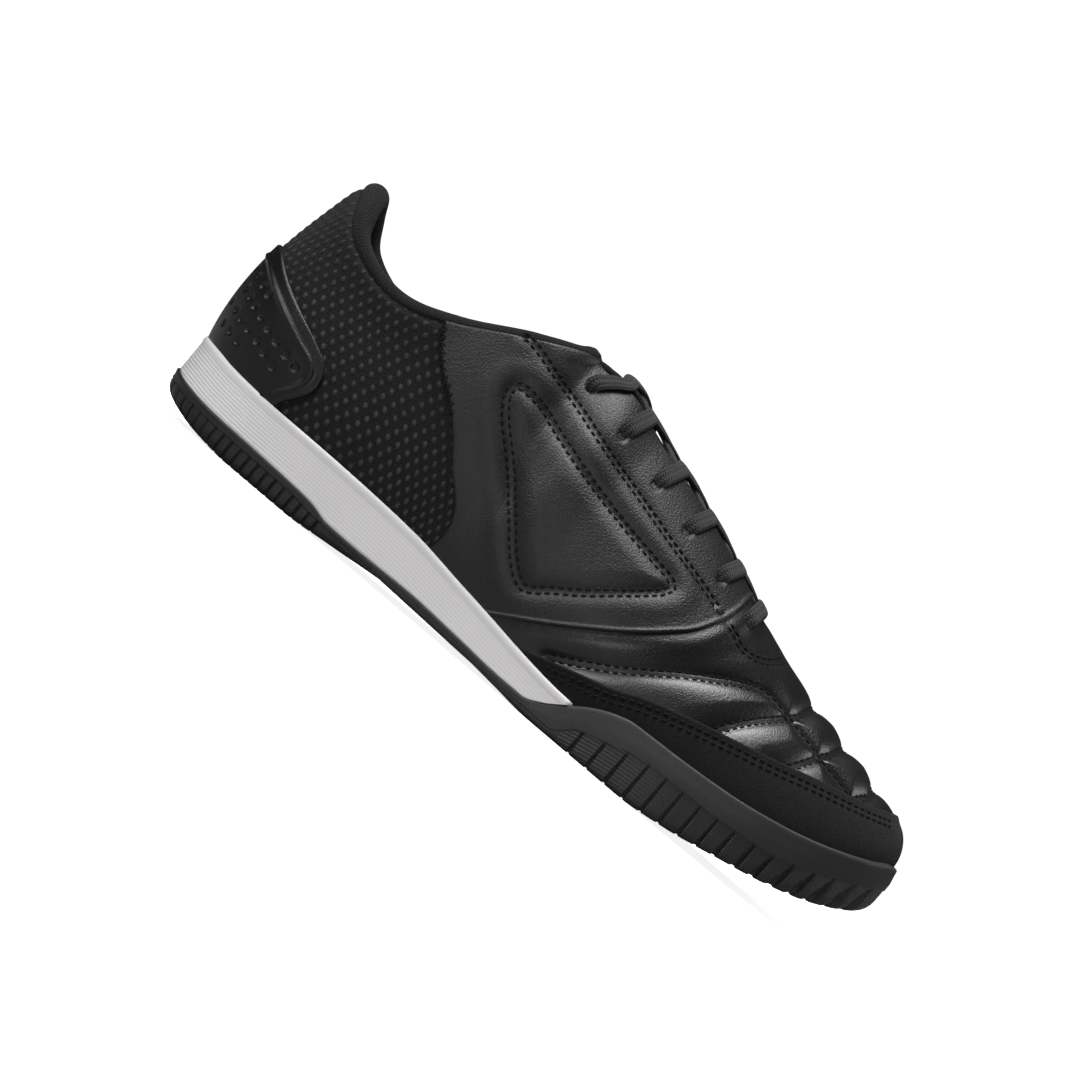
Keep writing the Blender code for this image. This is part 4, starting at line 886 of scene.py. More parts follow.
def stitches(points, normals, pitch=THREAD_PITCH, length=THREAD_LENGTH, radius=THREAD_RADIUS):
    """One row of thread stitches along a line on the surface, each a short swelling that dips in at its ends."""
    along = unit(np.gradient(points, axis=0))
    run = np.concatenate([[0], np.cumsum(np.linalg.norm(np.diff(points, axis=0), axis=1))])
    starts = np.arange(pitch * 0.3, run[-1] - length, pitch)
    shares = np.array([0.0, 0.16, 0.5, 0.84, 1.0])
    at = starts[:, None] + shares[None, :] * length

    def read(values):
        return np.stack([np.interp(at, run, values[:, k]) for k in range(3)], -1)

    heading, up = unit(read(along)), unit(read(normals))
    sideways = unit(np.cross(heading, up))
    swell = np.array([0.45, 1.0, 1.05, 1.0, 0.45])[None, :, None, None] * radius
    rise = np.array([-0.8, 0.05, 0.3, 0.05, -0.8])[None, :, None] * radius
    centre = read(points) + up * rise
    turns = np.linspace(0, 2 * pi, 7)[:-1]
    ring = sideways[:, :, None, :] * np.cos(turns)[:, None] + up[:, :, None, :] * np.sin(turns)[:, None]
    texture = np.stack(np.broadcast_arrays(at[..., None] * 1000, turns[None, None, :]), -1)
    return centre[:, :, None, :] + ring * swell, texture, centre[:, :, None, :]


def stitched_seam(q, v, relief, finish, rows=(-0.5, 0.5), **sizes):
    """The thread of a seam: rows of stitches beside its line, at the height that relief gives."""
    places, normals = form(q, v), outward(q, np.minimum(v, 0.95))
    aside = np.cross(unit(np.gradient(places, axis=0)), normals) * ROW_SPACING
    parts = []
    for row in rows:
        line = places + aside * row
        tubes, texture, core = stitches(line + normals * relief(line)[:, None], normals, **sizes)
        if len(tubes):
            parts.append(grid(tubes, texture, finish, closed=True, core=core))
    return parts


vamp_seams = []
for side in (-1, 1):
    for rows in (VAMP_SWEEP, *VAMP_ACROSS, EYESTAY_TURN):
        vamp_seams.append(seam_line(rows, side))
VAMP_FIRST_X = 0.118


def vamp_over_the_top():
    """The crossing seams carried over the ridge from their outer to their inner ends."""
    joined = []
    for number in (1, 2):
        halves = []
        for q_end, v_end in (vamp_seams[number], vamp_seams[number + 5]):
            v = np.linspace(v_end[-1], 1, 40)
            x = form(q_end[-1], v_end[-1])[0] + np.linspace(0, 0.0026, 40)
            q = q_end[-1] + np.linspace(-0.1, 0.1, 201)
            across = form(q[:, None], v[None, :])[..., 0]
            halves.append(([q[np.argmin(np.abs(across[:, i] - x[i]))] for i in range(40)], v))
        (q_out, v_out), (q_in, v_in) = halves
        q_out, q_in = (np.convolve(np.pad(q, 3, mode="edge"), np.ones(7) / 7, "valid") for q in (q_out, q_in))
        joined.append((np.concatenate([q_out[1:], q_in[-2:0:-1]]), np.concatenate([v_out[1:], v_in[-2:0:-1]])))
    (q_out, v_out), (q_in, v_in) = vamp_seams[3], vamp_seams[8]
    q, v = np.linspace(q_out[-1], q_in[-1], 81), np.linspace(0, 1, 401)
    behind = form(q[:, None], v[None, :])[..., 0] < form(q_out[-1], v_out[-1])[0]
    joined.append((q[1:-1], v[np.argmax(behind, axis=1)][1:-1]))
    return joined


vamp_tops = vamp_over_the_top()
vamp_lines = [form(q, v) for q, v in [*vamp_seams, *vamp_tops]]
vamp_shallow = np.concatenate([vamp_lines[4], vamp_lines[9]])
vamp_deep = np.concatenate([*vamp_lines[:4], *vamp_lines[5:9], *vamp_lines[10:]])
QUARTER_FRONT = [
    (131.5, 15.5), (140, 20.3), (148.3, 24.9), (160.8, 32.8), (173.3, 41.6), (181.7, 48.7), (187.5, 54.5),
    (191.3, 61.2), (193.3, 67), (193.8, 72.6),
]
quarter_fronts = {side: seam_line(QUARTER_FRONT, side) for side in (-1, 1)}
quarter_front_line = np.concatenate([form(*quarter_fronts[side]) for side in (-1, 1)])


QUILT_RISE, QUILT_REACH, QUILT_SINK = 0.0024, 0.0036, 0.0016


def vamp_relief(places):
    """How far the vamp stands off the last: quilting, and the soft fold in front of the quarter."""
    deep, shallow = nearest_distance(places, vamp_deep), nearest_distance(places, vamp_shallow)
    front = nearest_distance(places, quarter_front_line)
    quilt = QUILT_RISE * (1 - np.exp(-np.maximum(deep - 0.0010, 0) / QUILT_REACH)) - QUILT_SINK
    quilt -= 0.0004 * np.exp(-((shallow / 0.0020) ** 2)) + 0.0003 * np.exp(-(((deep - 0.0011) / 0.0005) ** 2))
    fold = 0.0006 * np.exp(-(((front - 0.0035) / 0.0030) ** 2)) - 0.0004 * np.exp(-(((front - 0.0105) / 0.0040) ** 2))
    return quilt + fold + 0.0004


def vamp_surface():
    u = sole_stations(0.00085)
    x = rail("foot", u)
    u = u[(x > VAMP_FIRST_X)]
    q = np.concatenate([u, 2 - u[-2::-1]])
    low, high = np.maximum(sole_edge_v(q) - 0.02, 0.0), throat_edge(q)
    v = low[:, None] + (high - low)[:, None] * np.linspace(0, 1, 112)[None, :] ** 0.92
    return q, v


vamp_q, vamp_v = vamp_surface()
vamp_places = form(vamp_q[:, None], vamp_v)
vamp_points = vamp_places + outward(vamp_q[:, None], vamp_v) * vamp_relief(vamp_places)[..., None]
vamp_parts = [grid(vamp_points, millimetres(vamp_places))]
for q, v in [*vamp_seams, *vamp_tops]:
    vamp_parts += stitched_seam(q, v, vamp_relief, 1)
vamp = make_piece("vamp_leather", vamp_parts, [vamp_leather, thread], weld=1e-5)
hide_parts("upper")


# ---- Toe band --------------------------------------------------------------------------------------------------
# A strip of matt black suede round the toe, with a cut upper edge that shows paler, held by two rows of
# stitching. Its lower edge goes down inside the outsole's cup.
BAND_TOP = [
    (146, 12.5), (150, 15.8), (160, 19.2), (170, 22.0), (180, 24.8), (188.3, 28.2), (196.7, 30.9), (209.2, 34.2),
    (221.7, 37.1), (234.2, 40.0), (246.7, 43.3), (259.2, 46.2), (267.5, 48.3), (275, 50.6), (282, 51.6), (290, 51.8),
]
BAND_THICKNESS = 0.0013
band_height = line_through(BAND_TOP)


def crossing_v(q, height):
    """v at which each column of the last rises past a height line."""
    v = np.linspace(0, 1, 401)
    points = form(q[:, None], v[None, :])
    past = points[..., 2] - height(points[..., 0])
    first = np.maximum(np.argmax(past > 0, axis=1), 1)
    i = np.arange(len(q))
    return v[first - 1] + (v[1] - v[0]) * past[i, first - 1] / (past[i, first - 1] - past[i, first])


def edge_rounding(distance, thickness, radius=0.0009):
    """Height of a panel near its cut edge, rounded off over the radius."""
    return thickness * np.sqrt(1 - (1 - np.clip(distance / radius, 0, 1)) ** 2)


def make_suede():
    """Suede: a short fibrous nap that takes no gloss."""
    material, tree, shader = new_finish(
        "toe_suede", (0.009, 0.010, 0.0095), 0.95, Sheen_Weight=0.08, Sheen_Roughness=0.6, Specular_IOR_Level=0.15)
    mottle = place_group(tree, MOTTLE, Patch=120.0, Dust=2600.0)
    patches = maths(tree, "MULTIPLY_ADD", mottle.outputs["Tone"], 0.6, -0.2)
    tone = maths(tree, "MULTIPLY_ADD", mottle.outputs["Speck"], 0.8, patches)
    tree.links.new(between(tree, tone, (0.0028, 0.0032, 0.0030), (0.0085, 0.0096, 0.0090)), shader.inputs["Base Color"])
    bump_from(tree, shader, mottle.outputs["Speck"], 0.0006)
    return material


def make_cut_edge():
    material, tree, shader = new_finish("cut_edge", (0.10, 0.10, 0.10), 0.8)
    mottle = place_group(tree, MOTTLE, Patch=300.0, Dust=2000.0)
    colour = between(tree, mottle.outputs["Tone"], (0.06, 0.065, 0.065), (0.15, 0.155, 0.155))
    tree.links.new(colour, shader.inputs["Base Color"])
    return material


cut_edge = make_cut_edge()
band_u = sole_stations(0.0012)
band_u = band_u[rail("foot", band_u) > 0.149]
band_q = np.concatenate([band_u, 2 - band_u[-2::-1]])
band_low, band_top = sole_edge_v(band_q) - 0.035, crossing_v(band_q, band_height)
band_share = np.concatenate([np.linspace(0, 0.9, 34), [0.93, 0.955, 0.972, 0.985, 0.993, 0.998, 1.0]])
band_v = band_low[:, None] + np.maximum(band_top - band_low, 0.004)[:, None] * band_share[None, :]
band_places, band_normals = form(band_q[:, None], band_v), outward(band_q[:, None], band_v)
band_edge = band_places[:, -1]


def band_relief(places):
    from_edge = nearest_distance(places, band_edge)
    seam = 0.00030 * np.exp(-(((from_edge - 0.0032) / 0.0017) ** 2))
    return 0.0008 + edge_rounding(from_edge, BAND_THICKNESS) - seam


band_lift = band_relief(band_places)
band_points = band_places + band_normals * band_lift[..., None]
band_texture = millimetres(band_places)
band_skirt = np.stack([band_edge + band_normals[:, -1] * lift for lift in (0.0009, -0.0006)], 1)
band_parts = [grid(band_points, band_texture, 0), grid(band_skirt, band_texture[:, -2:], 2)]
band_seam = BAND_TOP[1:-2]
for side in (-1, 1):
    q, v = seam_line([(x + 0.6, z - 3.2) for x, z in band_seam], side)
    keep = form(q, v)[:, 2] > np.maximum(wall_height(form(q, v)[:, 0]), rim_height(form(q, v)[:, 0])) + 0.001
    band_parts += stitched_seam(q[keep], v[keep], band_relief, 1)
toe_band = make_piece("toe_band", band_parts, [make_suede(), thread, cut_edge])
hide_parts("toe_overlay")


# ---- Quarters --------------------------------------------------------------------------------------------------
# A panel of soft black leather on each side, from the mesh to the vamp and up to the throat, where it is
# punched for the lace. A three-cornered part of it is padded and sewn round with two rows.
QUARTER_REAR = [
    (105.6, 19.5), (106.6, 24), (106.8, 27.5), (106.2, 31.6), (103.5, 36.8), (96, 44.3), (86, 56), (78.1, 63.1),
    (72.7, 66.8), (66.8, 72.7), (61.8, 80.5),
]
EYESTAY_SEAM = [
    (84, 93.2), (90, 92.2), (102.5, 88.6), (115, 85.4), (131.7, 80.2), (148.3, 75.7), (165, 71.0), (181.7, 66.8),
    (190.2, 64.2),
]
PAD_SEAM = [
    (93.0, 78.0), (94.6, 79.4), (98.5, 79.5), (115, 75.1), (131.7, 70.2), (148.3, 66.4), (165, 63.4), (171, 62.2),
    (172.9, 60.8), (171.8, 58.0), (168.2, 54.4), (160, 47.4), (152.2, 41.0), (144.2, 35.4), (140.4, 32.4),
    (137.4, 31.0), (134, 32.2), (128.5, 36.6), (120.2, 45.9), (111.8, 54.9), (103.5, 62.6), (96.0, 70.3),
    (93.2, 74.6), (92.8, 77.2), (93.2, 78.4),
]
EYELETS = [(111.2, 92.9), (128.9, 87.7), (147.6, 82.3), (164.6, 77.3), (182.4, 72.2), (198.0, 66.6)]
LEATHER_THICKNESS, SEAM_GROOVE, PAD_RISE = 0.0013, 0.0021, 0.0010
EYELET_EDGE = (0.0011, 0.0021)
quarter_leather = make_leather(
    "quarter_leather", (0.005, 0.005, 0.0055), (0.010, 0.010, 0.011), 0.46, 1700.0, 0.00014, coat=0.04)


def walk_down(q, v, distance):
    """v that lies that far down the last's curve from v."""
    vs = np.linspace(v, 0, 200)
    run = np.concatenate([[0], np.cumsum(np.linalg.norm(np.diff(form(q, vs), axis=0), axis=1))])
    return float(np.interp(distance, run, vs))


def eyelet_places(side):
    """q and v of the eyelets: as seen on the outer side, and as far from the throat on the inner."""
    q, v = on_last(-1, np.array(EYELETS) * 0.001)
    if side < 0:
        return q, v
    inner = []
    for at, height in zip(q, v):
        inset = np.linalg.norm(form(at, height) - form(at, throat_edge(at)))
        inner.append(walk_down(2 - at, float(throat_edge(2 - at)), inset))
    return 2 - q, np.array(inner)


def panel_between(bottom, top, rear, front, columns, rows):
    """q and v of a four-sided panel, filled in between its four edges, which run rear to front and upwards."""
    def at(edge, share):
        q, v = edge
        run = np.concatenate([[0], np.cumsum(np.linalg.norm(np.diff(form(q, v), axis=0), axis=1))])
        return np.stack([np.interp(share, run / run[-1], values) for values in (q, v)], -1)

    s, t = columns[:, None, None], rows[None, :, None]
    low, high = at(bottom, columns)[:, None], at(top, columns)[:, None]
    start, end = at(rear, rows)[None], at(front, rows)[None]
    corners = (1 - s) * (1 - t) * low[:1] + s * (1 - t) * low[-1:] + (1 - s) * t * high[:1] + s * t * high[-1:]
    filled = (1 - t) * low + t * high + (1 - s) * start + s * end - corners
    return filled[..., 0], filled[..., 1]


def close_at_ends(count, fine=(0.0, 0.0012, 0.003, 0.0055, 0.009)):
    fine = np.array(fine)
    return np.concatenate([fine, np.linspace(0.014, 0.986, count), 1 - fine[::-1]])


def inside_outline(x, z, outline):
    """Which side-view places lie inside a closed outline."""
    inside = np.zeros(x.shape, bool)
    for (x0, z0), (x1, z1) in zip(outline, np.roll(outline, -1, axis=0)):
        if z0 != z1:
            inside ^= ((z0 > z) != (z1 > z)) & (x < x0 + (x1 - x0) * (z - z0) / (z1 - z0))
    return inside


def with_skirt(points, normals, drop):
    """The panel's points with one more row all round, let down to what it lies on."""
    def let_down(edge, normal):
        return edge - normal * drop

    points = np.concatenate([let_down(points[:1], normals[:1]), points, let_down(points[-1:], normals[-1:])])
    normals = np.concatenate([normals[:1], normals, normals[-1:]])
    first, last = (let_down(points[:, row], normals[:, row]) for row in (slice(1), slice(-1, None)))
    return np.concatenate([first, points, last], 1)


def zigzag(q, v, relief, finish, step=0.0014, reach=0.0017, back=0.4):
    """Overlock thread that crosses to and fro over an edge, by reach on one side and a share of it on the other."""
    places, normals = form(q, v), outward(q, v)
    run = np.concatenate([[0], np.cumsum(np.linalg.norm(np.diff(places, axis=0), axis=1))])
    at = np.arange(0, run[-1], step)
    points, up = (np.stack([np.interp(at, run, values[:, k]) for k in range(3)], -1) for values in (places, normals))
    side = np.where(np.arange(len(at)) % 2, 1.0, -back)[:, None] * reach
    points = points + np.cross(unit(np.gradient(points, axis=0)), up) * side
    points = points + up * relief(points)[:, None]
    fine = np.linspace(0, len(at) - 1, 8 * len(at))
    dense, dense_up = (
        np.stack([np.interp(fine, np.arange(len(at)), values[:, k]) for k in range(3)], -1) for values in (points, up))
    length = float(np.linalg.norm(np.diff(points, axis=0), axis=1).mean())
    tubes, texture, core = stitches(dense, dense_up, pitch=length, length=length * 0.98, radius=0.00026)
    return grid(tubes, texture, finish, closed=True, core=core)


def make_quarter(side):
    rear, front = seam_line(QUARTER_REAR, side), quarter_fronts[side]
    rear[1][-1], front[1][-1] = 1.0, throat_edge(front[0][-1])
    low_q, top_q = np.linspace(rear[0][0], front[0][0], 80), np.linspace(rear[0][-1], front[0][-1], 400)
    bottom, top = (low_q, sole_edge_v(low_q) - 0.012), (top_q, throat_edge(top_q))
    rear[1][0], front[1][0] = bottom[1][0], bottom[1][-1]
    q, v = panel_between(bottom, top, rear, front, close_at_ends(165), close_at_ends(110))
    v = np.clip(v, 0, 1)
    places, normals = form(q, v), outward(q, v)
    edges = np.concatenate([places[0], places[-1], places[:, -1]])
    front_edge = places[-1]
    eyestay, pad = (form(*seam_line(rows, side)) for rows in (EYESTAY_SEAM, PAD_SEAM))
    holes = form(*(values[:5] for values in eyelet_places(side)))

    def relief(points):
        rise = edge_rounding(nearest_distance(points, edges), LEATHER_THICKNESS)
        rise += 0.00050 * np.exp(-(((nearest_distance(points, front_edge) - 0.0009) / 0.0006) ** 2))
        rise -= 0.00060 * np.exp(-((nearest_distance(points, eyestay) / SEAM_GROOVE) ** 2))
        from_pad = nearest_distance(points, pad)
        inside = inside_outline(points[..., 0], points[..., 2], pad[:, [0, 2]])
        rise += PAD_RISE * inside * share_between(0.0002, 0.0075, from_pad)
        rise -= 0.00070 * np.exp(-((from_pad / SEAM_GROOVE) ** 2))
        rise += 0.0005 * ~inside * np.exp(-(((from_pad - 0.0055) / 0.0035) ** 2))
        hole = 1 - share_between(*EYELET_EDGE, nearest_distance(points, holes))
        return 0.0007 + rise - 0.0012 * hole

    points = places + normals * relief(places)[..., None]
    texture = millimetres(places)
    skirted = with_skirt(points, normals, 0.0017)
    parts = [grid(skirted, np.pad(texture, ((1, 1), (1, 1), (0, 0)), mode="edge"), 0)]
    for rows in (EYESTAY_SEAM, PAD_SEAM):
        parts += stitched_seam(*seam_line(rows, side), relief, 1)
    parts.append(zigzag(*(values[-55:] for values in seam_line(QUARTER_REAR, side)), relief, 1))
    name = "quarter_outer" if side < 0 else "quarter_inner"
    quarter = make_piece(name.replace("quarter", "quarter_leather"), parts, [quarter_leather, thread], weld=1e-5)
    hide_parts(name)


for side in (-1, 1):
    make_quarter(side)


# ---- Heel counter ----------------------------------------------------------------------------------------------
# A moulded cup of glossy black plastic round the heel, with a flat flange, a raised bead inside it and rows of
# round dimples, bonded to the mesh.
COUNTER_FRONT = [(37.4, 22.4), (40.2, 27.8), (42.9, 31.4), (44.9, 34.6), (45.5, 37.4), (45.0, 40.2)]
COUNTER_TOP = [(45.0, 40.2), (43.8, 42.9), (41.2, 45.3), (35.2, 48.4), (24.3, 53.2), (12.7, 59.4), (6.4, 63.8)]
COUNTER_BACK, BEAD_BACK = 0.0655, 0.0602
COUNTER_BEAD = [
    (33.0, 24.2), (36.8, 28.9), (39.9, 33.2), (41.2, 36.6), (40.6, 39.9), (37.7, 42.3), (31.8, 44.5), (22.7, 48.6),
    (12.7, 54.0), (6.6, 58.2),
]
COUNTER_DIMPLES = [
    (6.4, 52.7), (10.3, 51.4), (13.9, 50.2), (6.0, 47.7), (9.3, 46.0), (12.7, 44.8), (16.8, 43.5), (21.2, 42.0),
    (25.8, 40.6), (30.6, 39.2), (35.6, 37.9), (4.6, 41.4), (8.3, 40.2), (11.8, 38.9), (16.0, 37.8), (20.8, 36.8),
    (25.2, 35.3), (29.8, 33.7), (7.5, 34.5), (11.4, 33.7), (15.6, 32.7), (3.6, 54.6), (3.0, 49.2),
]
COUNTER_THICKNESS, DIMPLE_DEPTH, DIMPLE_EDGE = 0.0013, 0.0007, (0.0009, 0.0017)


def make_counter_plastic():
    """Moulded plastic with a fine satin grain."""
    material, tree, shader = new_finish(
        "counter_plastic", (0.007, 0.007, 0.007), 0.36, Specular_IOR_Level=0.40, Coat_Weight=0.06, Coat_Roughness=0.2)
    mottle = place_group(tree, MOTTLE, Patch=60.0, Dust=1900.0)
    colour = between(tree, mottle.outputs["Tone"], (0.003, 0.003, 0.003), (0.007, 0.007, 0.007))
    tree.links.new(colour, shader.inputs["Base Color"])
    tree.links.new(maths(tree, "MULTIPLY_ADD", mottle.outputs["Speck"], 0.3, 0.22), shader.inputs["Roughness"])
    bump_from(tree, shader, mottle.outputs["Speck"], 0.00012)
    return material


def round_the_back(rows, back_height):
    """A line drawn on the outer side, carried round the back of the heel to the inner side."""
    q, v = seam_line(rows, -1)
    centre = float(crossing_v(np.array([0.0]), lambda x: back_height + 0 * x)[0])
    across = np.linspace(0, 1, 30)[1:-1]
    lean = share_between(0, 1, across)
    q_mid = q[-1] * (1 - across)
    v_mid = v[-1] + (centre - v[-1]) * lean
    q = np.concatenate([q, q_mid])
    v = np.concatenate([v, v_mid])
    return np.concatenate([q, [0.0], -q[::-1]]), np.concatenate([v, [centre], v[::-1]])


def make_counter():
    front_q, front_v = seam_line(COUNTER_FRONT, -1)
    top = round_the_back(COUNTER_TOP, COUNTER_BACK)
    top[0][0] = front_q[-1]
    low_q = np.linspace(front_q[0], -front_q[0], 200)
    bottom = (low_q, sole_edge_v(low_q) - 0.012)
    front_v[0] = bottom[1][0]
    start, end = (front_q, front_v), (-front_q, front_v)
    q, v = panel_between(bottom, top, start, end, close_at_ends(400), close_at_ends(118))
    places, normals = form(q, v), outward(q, v)
    edges = np.concatenate([places[0], places[-1], places[:, -1]])
    bead = form(*round_the_back(COUNTER_BEAD, BEAD_BACK))
    dimple_q, dimple_v = on_last(-1, np.array(COUNTER_DIMPLES) * 0.001)
    dimples = np.concatenate([form(dimple_q, dimple_v), form(-dimple_q, dimple_v)])

    def relief(points):
        from_bead, from_edge = nearest_distance(points, bead), nearest_distance(points, edges)
        rise = edge_rounding(from_edge, COUNTER_THICKNESS) + 0.00065 * np.exp(-((from_bead / 0.0008) ** 2))
        rise -= 0.00025 * share_between(0.0045, 0.0065, from_edge)
        dimple = 1 - share_between(*DIMPLE_EDGE, nearest_distance(points, dimples))
        return 0.0006 + rise - DIMPLE_DEPTH * dimple

    points = places + normals * relief(places)[..., None]
    texture = np.pad(millimetres(places), ((1, 1), (1, 1), (0, 0)), mode="edge")
    parts = [grid(with_skirt(points, normals, 0.0016), texture)]
    counter = make_piece("counter_cup", parts, [make_counter_plastic()], weld=1e-5)
    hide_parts("heel_counter")


make_counter()


# ---- Collar ----------------------------------------------------------------------------------------------------
# A soft roll of dark grey melange knit over foam, sewn round the upper's top line. It goes down inside as the
# heel's padding, and thins out along the edges of the throat.
COLLAR_PAD, COLLAR_DEPTH = 0.0052, 0.026
# Thickness of the roll as a share of COLLAR_PAD, at places along the shoe, and depths inside the shoe as shares of
# COLLAR_DEPTH, with how much of the pad is left there
COLLAR_PLACES = [0.0, 0.017, 0.034, 0.055, 0.095, 0.112, 0.128, 0.150]
COLLAR_SHARES = [1.08, 1.06, 0.88, 0.80, 0.80, 0.66, 0.56, 0.25]
COLLAR_INSIDE = [(0.24, 0.99), (0.36, 0.97), (0.50, 0.86), (0.66, 0.66), (0.82, 0.40), (1.0, 0.10)]


def make_collar():
    end = u_at_top(0.146)
    qs = np.linspace(-end, end, 520)
    edge_v = throat_edge(qs)
    edge = form(qs, edge_v)
    along = unit(np.gradient(edge, axis=0))
    out = outward(qs, np.minimum(edge_v, 0.995))
    up = unit(np.cross(out, along))
    up = up * np.sign(up[:, 2])[:, None]
    pad = COLLAR_PAD * np.interp(edge[:, 0], COLLAR_PLACES, COLLAR_SHARES)
    beside_laces = share_between(0.100, 0.112, edge[:, 0]) * (1 - share_between(0.124, 0.136, edge[:, 0]))
    edge = edge + np.outer(beside_laces, [0, 0, 0.0022])
    rows = []
    for angle in np.radians(np.linspace(-42, 180, 22)):
        reach, rise = -0.70 + 0.86 * cos(angle), 0.06 + (0.80 if angle > 0 else 0.5) * sin(angle)
        rows.append(edge + out * (reach * pad)[:, None] + up * (rise * pad)[:, None] + out * 0.0004)
    fade = 1 - share_between(0.100, 0.125, edge[:, 0])
    for depth, share in COLLAR_INSIDE:
        depths = depth * COLLAR_DEPTH * (0.25 + 0.75 * fade)
        v = np.array([walk_down(q, float(top), down) for q, top, down in zip(qs, edge_v, depths)])
        rows.append(lifted(qs, v, -(UPPER_WALL + 0.0006) - share * pad * (0.35 + 0.65 * fade)))
    points = np.stack(rows, 1)
    knit = make_textile(
        "collar_knit", (0.005, 0.005, 0.005), (0.020, 0.0195, 0.020), 0.9, 0.75, depth=0.00035, sheen=0.06)
    core = (edge - out * 0.0035)[:, None, :]
    collar = make_piece("collar_roll", [grid(points, millimetres(points), core=core)], [knit])
    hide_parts("collar_lining")


make_collar()


# ---- Tongue ----------------------------------------------------------------------------------------------------
# Padded tongue of the same knit over thin foam, sewn in at the front of the throat. It lies under the laces and
# its rounded tip stands just above the collar.
TONGUE_THICKNESS, TONGUE_TIP = 0.0040, 0.0125
tongue_knit = make_textile(
    "tongue_knit", (0.006, 0.006, 0.006), (0.024, 0.0235, 0.024), 1.0, 0.8, depth=0.0003, sheen=0.08)


def make_tongue():
    stations = np.linspace(u_at_top(0.402 * LENGTH), u_at_top(0.748 * LENGTH), 90)
    share = np.linspace(0, 1, 13)
    rows = []
    for u in stations:
        x = rail("top", u)
        tuck = np.interp(x, [0.116, 0.136, 0.209, 0.215], [0.0, 0.010, 0.010, 0.012])
        low = [walk_down(q, float(throat_edge(q)), tuck) for q in (u, 2 - u)]
        depth = UPPER_WALL + 0.0009 + np.interp(x, [0.116, 0.133], [0.0006, 0])
        depths = -(depth + (0.0018 - depth) * share_between(0.25, 1.0, share) * share_between(0.118, 0.124, x))
        outer = lifted(np.full(13, u), low[0] + (1 - low[0]) * share, depths)
        inner = lifted(np.full(13, 2 - u), low[1] + (1 - low[1]) * share, depths)
        rows.append(np.concatenate([outer, inner[-2::-1]]))
    rows = np.array(rows)
    middle = rows[:, 12]
    heading = unit(middle[0] - middle[3])
    tip = []
    for reach in (1.0, 0.97, 0.9, 0.78, 0.62, 0.42, 0.2):
        narrow = 0.80 - 0.45 * reach**3
        tip.append(middle[0] + heading * TONGUE_TIP * reach + [0, 0, 0.0030 * reach] + (rows[0] - middle[0]) * narrow)
    top = np.concatenate([np.array(tip), rows])
    across = np.gradient(top, axis=1)
    normals = unit(np.cross(np.gradient(top, axis=0), across))
    normals *= np.sign(normals[..., 2:3].mean())
    crown = np.sin(np.linspace(0, pi, top.shape[1]))[None, :, None] ** 0.35
    ends = np.concatenate([[0.45, 0.7, 0.88, 0.97, 1, 1, 1], np.ones(len(rows))])[:, None, None]
    under = top - normals * TONGUE_THICKNESS * crown * ends
    top = top + normals * 0.0007 * crown * ends
    ring = np.concatenate([top, under[:, ::-1]], 1)
    core = np.broadcast_to(ring.mean(axis=1, keepdims=True), ring.shape)
    texture = np.concatenate([millimetres(top), millimetres(under)[:, ::-1]], 1)
    cap = np.stack([top[0], (top[0] + under[0]) / 2, under[0]], 1)
    parts = [grid(ring, texture, closed=True, core=core), grid(cap, core=middle[20])]
    tongue = make_piece("tongue_pad", parts, [tongue_knit])
    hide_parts("tongue")


make_tongue()


# ---- Lace ------------------------------------------------------------------------------------------------------
# One flat braided lace of charcoal cord: a bar between the front eyelets, then crossings up to the top pair,
# each run rising out of its eyelet and going in under the other side's edge.
LACE_WIDTH, LACE_THICKNESS = 0.0059, 0.0018


def make_braid():
    """Flat braid: ribs along the lace with yarns that slant across them. Texture x is along, y round it."""
    material, tree, shader = new_finish(
        "lace_braid", (0.03, 0.03, 0.03), 0.85, Sheen_Weight=0.12, Specular_IOR_Level=0.25)
    x, y = texture_place(tree)
    rib = maths(tree, "DIVIDE", y, 1.15)
    across = maths(tree, "ABSOLUTE", maths(tree, "SUBTRACT", maths(tree, "FRACT", rib), 0.5))
    yarn = maths(tree, "ADD", x, maths(tree, "MULTIPLY", across, 1.1))
    slant = maths(tree, "SINE", maths(tree, "MULTIPLY", yarn, 2 * pi / 0.95))
    height = maths(tree, "SUBTRACT", maths(tree, "MULTIPLY", slant, 0.35), maths(tree, "MULTIPLY", across, 1.8))
    # Painted shade: the braid's colour follows its height, darker in the grooves between ribs and yarns and lighter on
    # their tops.
    tone = maths(tree, "MULTIPLY_ADD", height, 0.55, 0.75)
    tree.links.new(between(tree, tone, (0.009, 0.009, 0.009), (0.060, 0.059, 0.059)), shader.inputs["Base Color"])
    bump_from(tree, shader, height, 0.0005)
    return material


def lace_rings(points, normals, widths, depths):
    """A flat rounded tube through control points."""
    run = np.concatenate([[0], np.cumsum(np.linalg.norm(np.diff(points, axis=0), axis=1))])
    at = np.linspace(0, run[-1], 90)

    def smooth(values):
        slopes = np.gradient(values, run, axis=0)
        return np.stack([cubic(run, values[:, k], slopes[:, k], at) for k in range(values.shape[1])], -1)

    path, up = smooth(points), unit(smooth(normals))
    heading = unit(np.gradient(path, axis=0))
    wide = unit(np.cross(heading, up))
    thick = np.cross(wide, heading)
    turns = np.linspace(0, 2 * pi, 21)[:-1]
    c, s = np.cos(turns), np.sin(turns)
    flat = np.sign(c) * np.abs(c) ** 0.75, np.sign(s) * np.abs(s) ** 0.85
    width, depth = (np.interp(at, run, values)[:, None, None] / 2 for values in (widths, depths))
    ring = path[:, None] + wide[:, None] * flat[0][None, :, None] * width
    ring = ring + thick[:, None] * flat[1][None, :, None] * depth
    around = np.interp(turns, [0, pi, 2 * pi], [0, 6.2, 12.4])
    texture = np.stack(np.broadcast_arrays(at[:, None] * 1000, around[None, :]), -1)
    return grid(ring, texture, 0, closed=True, core=path[:, None])


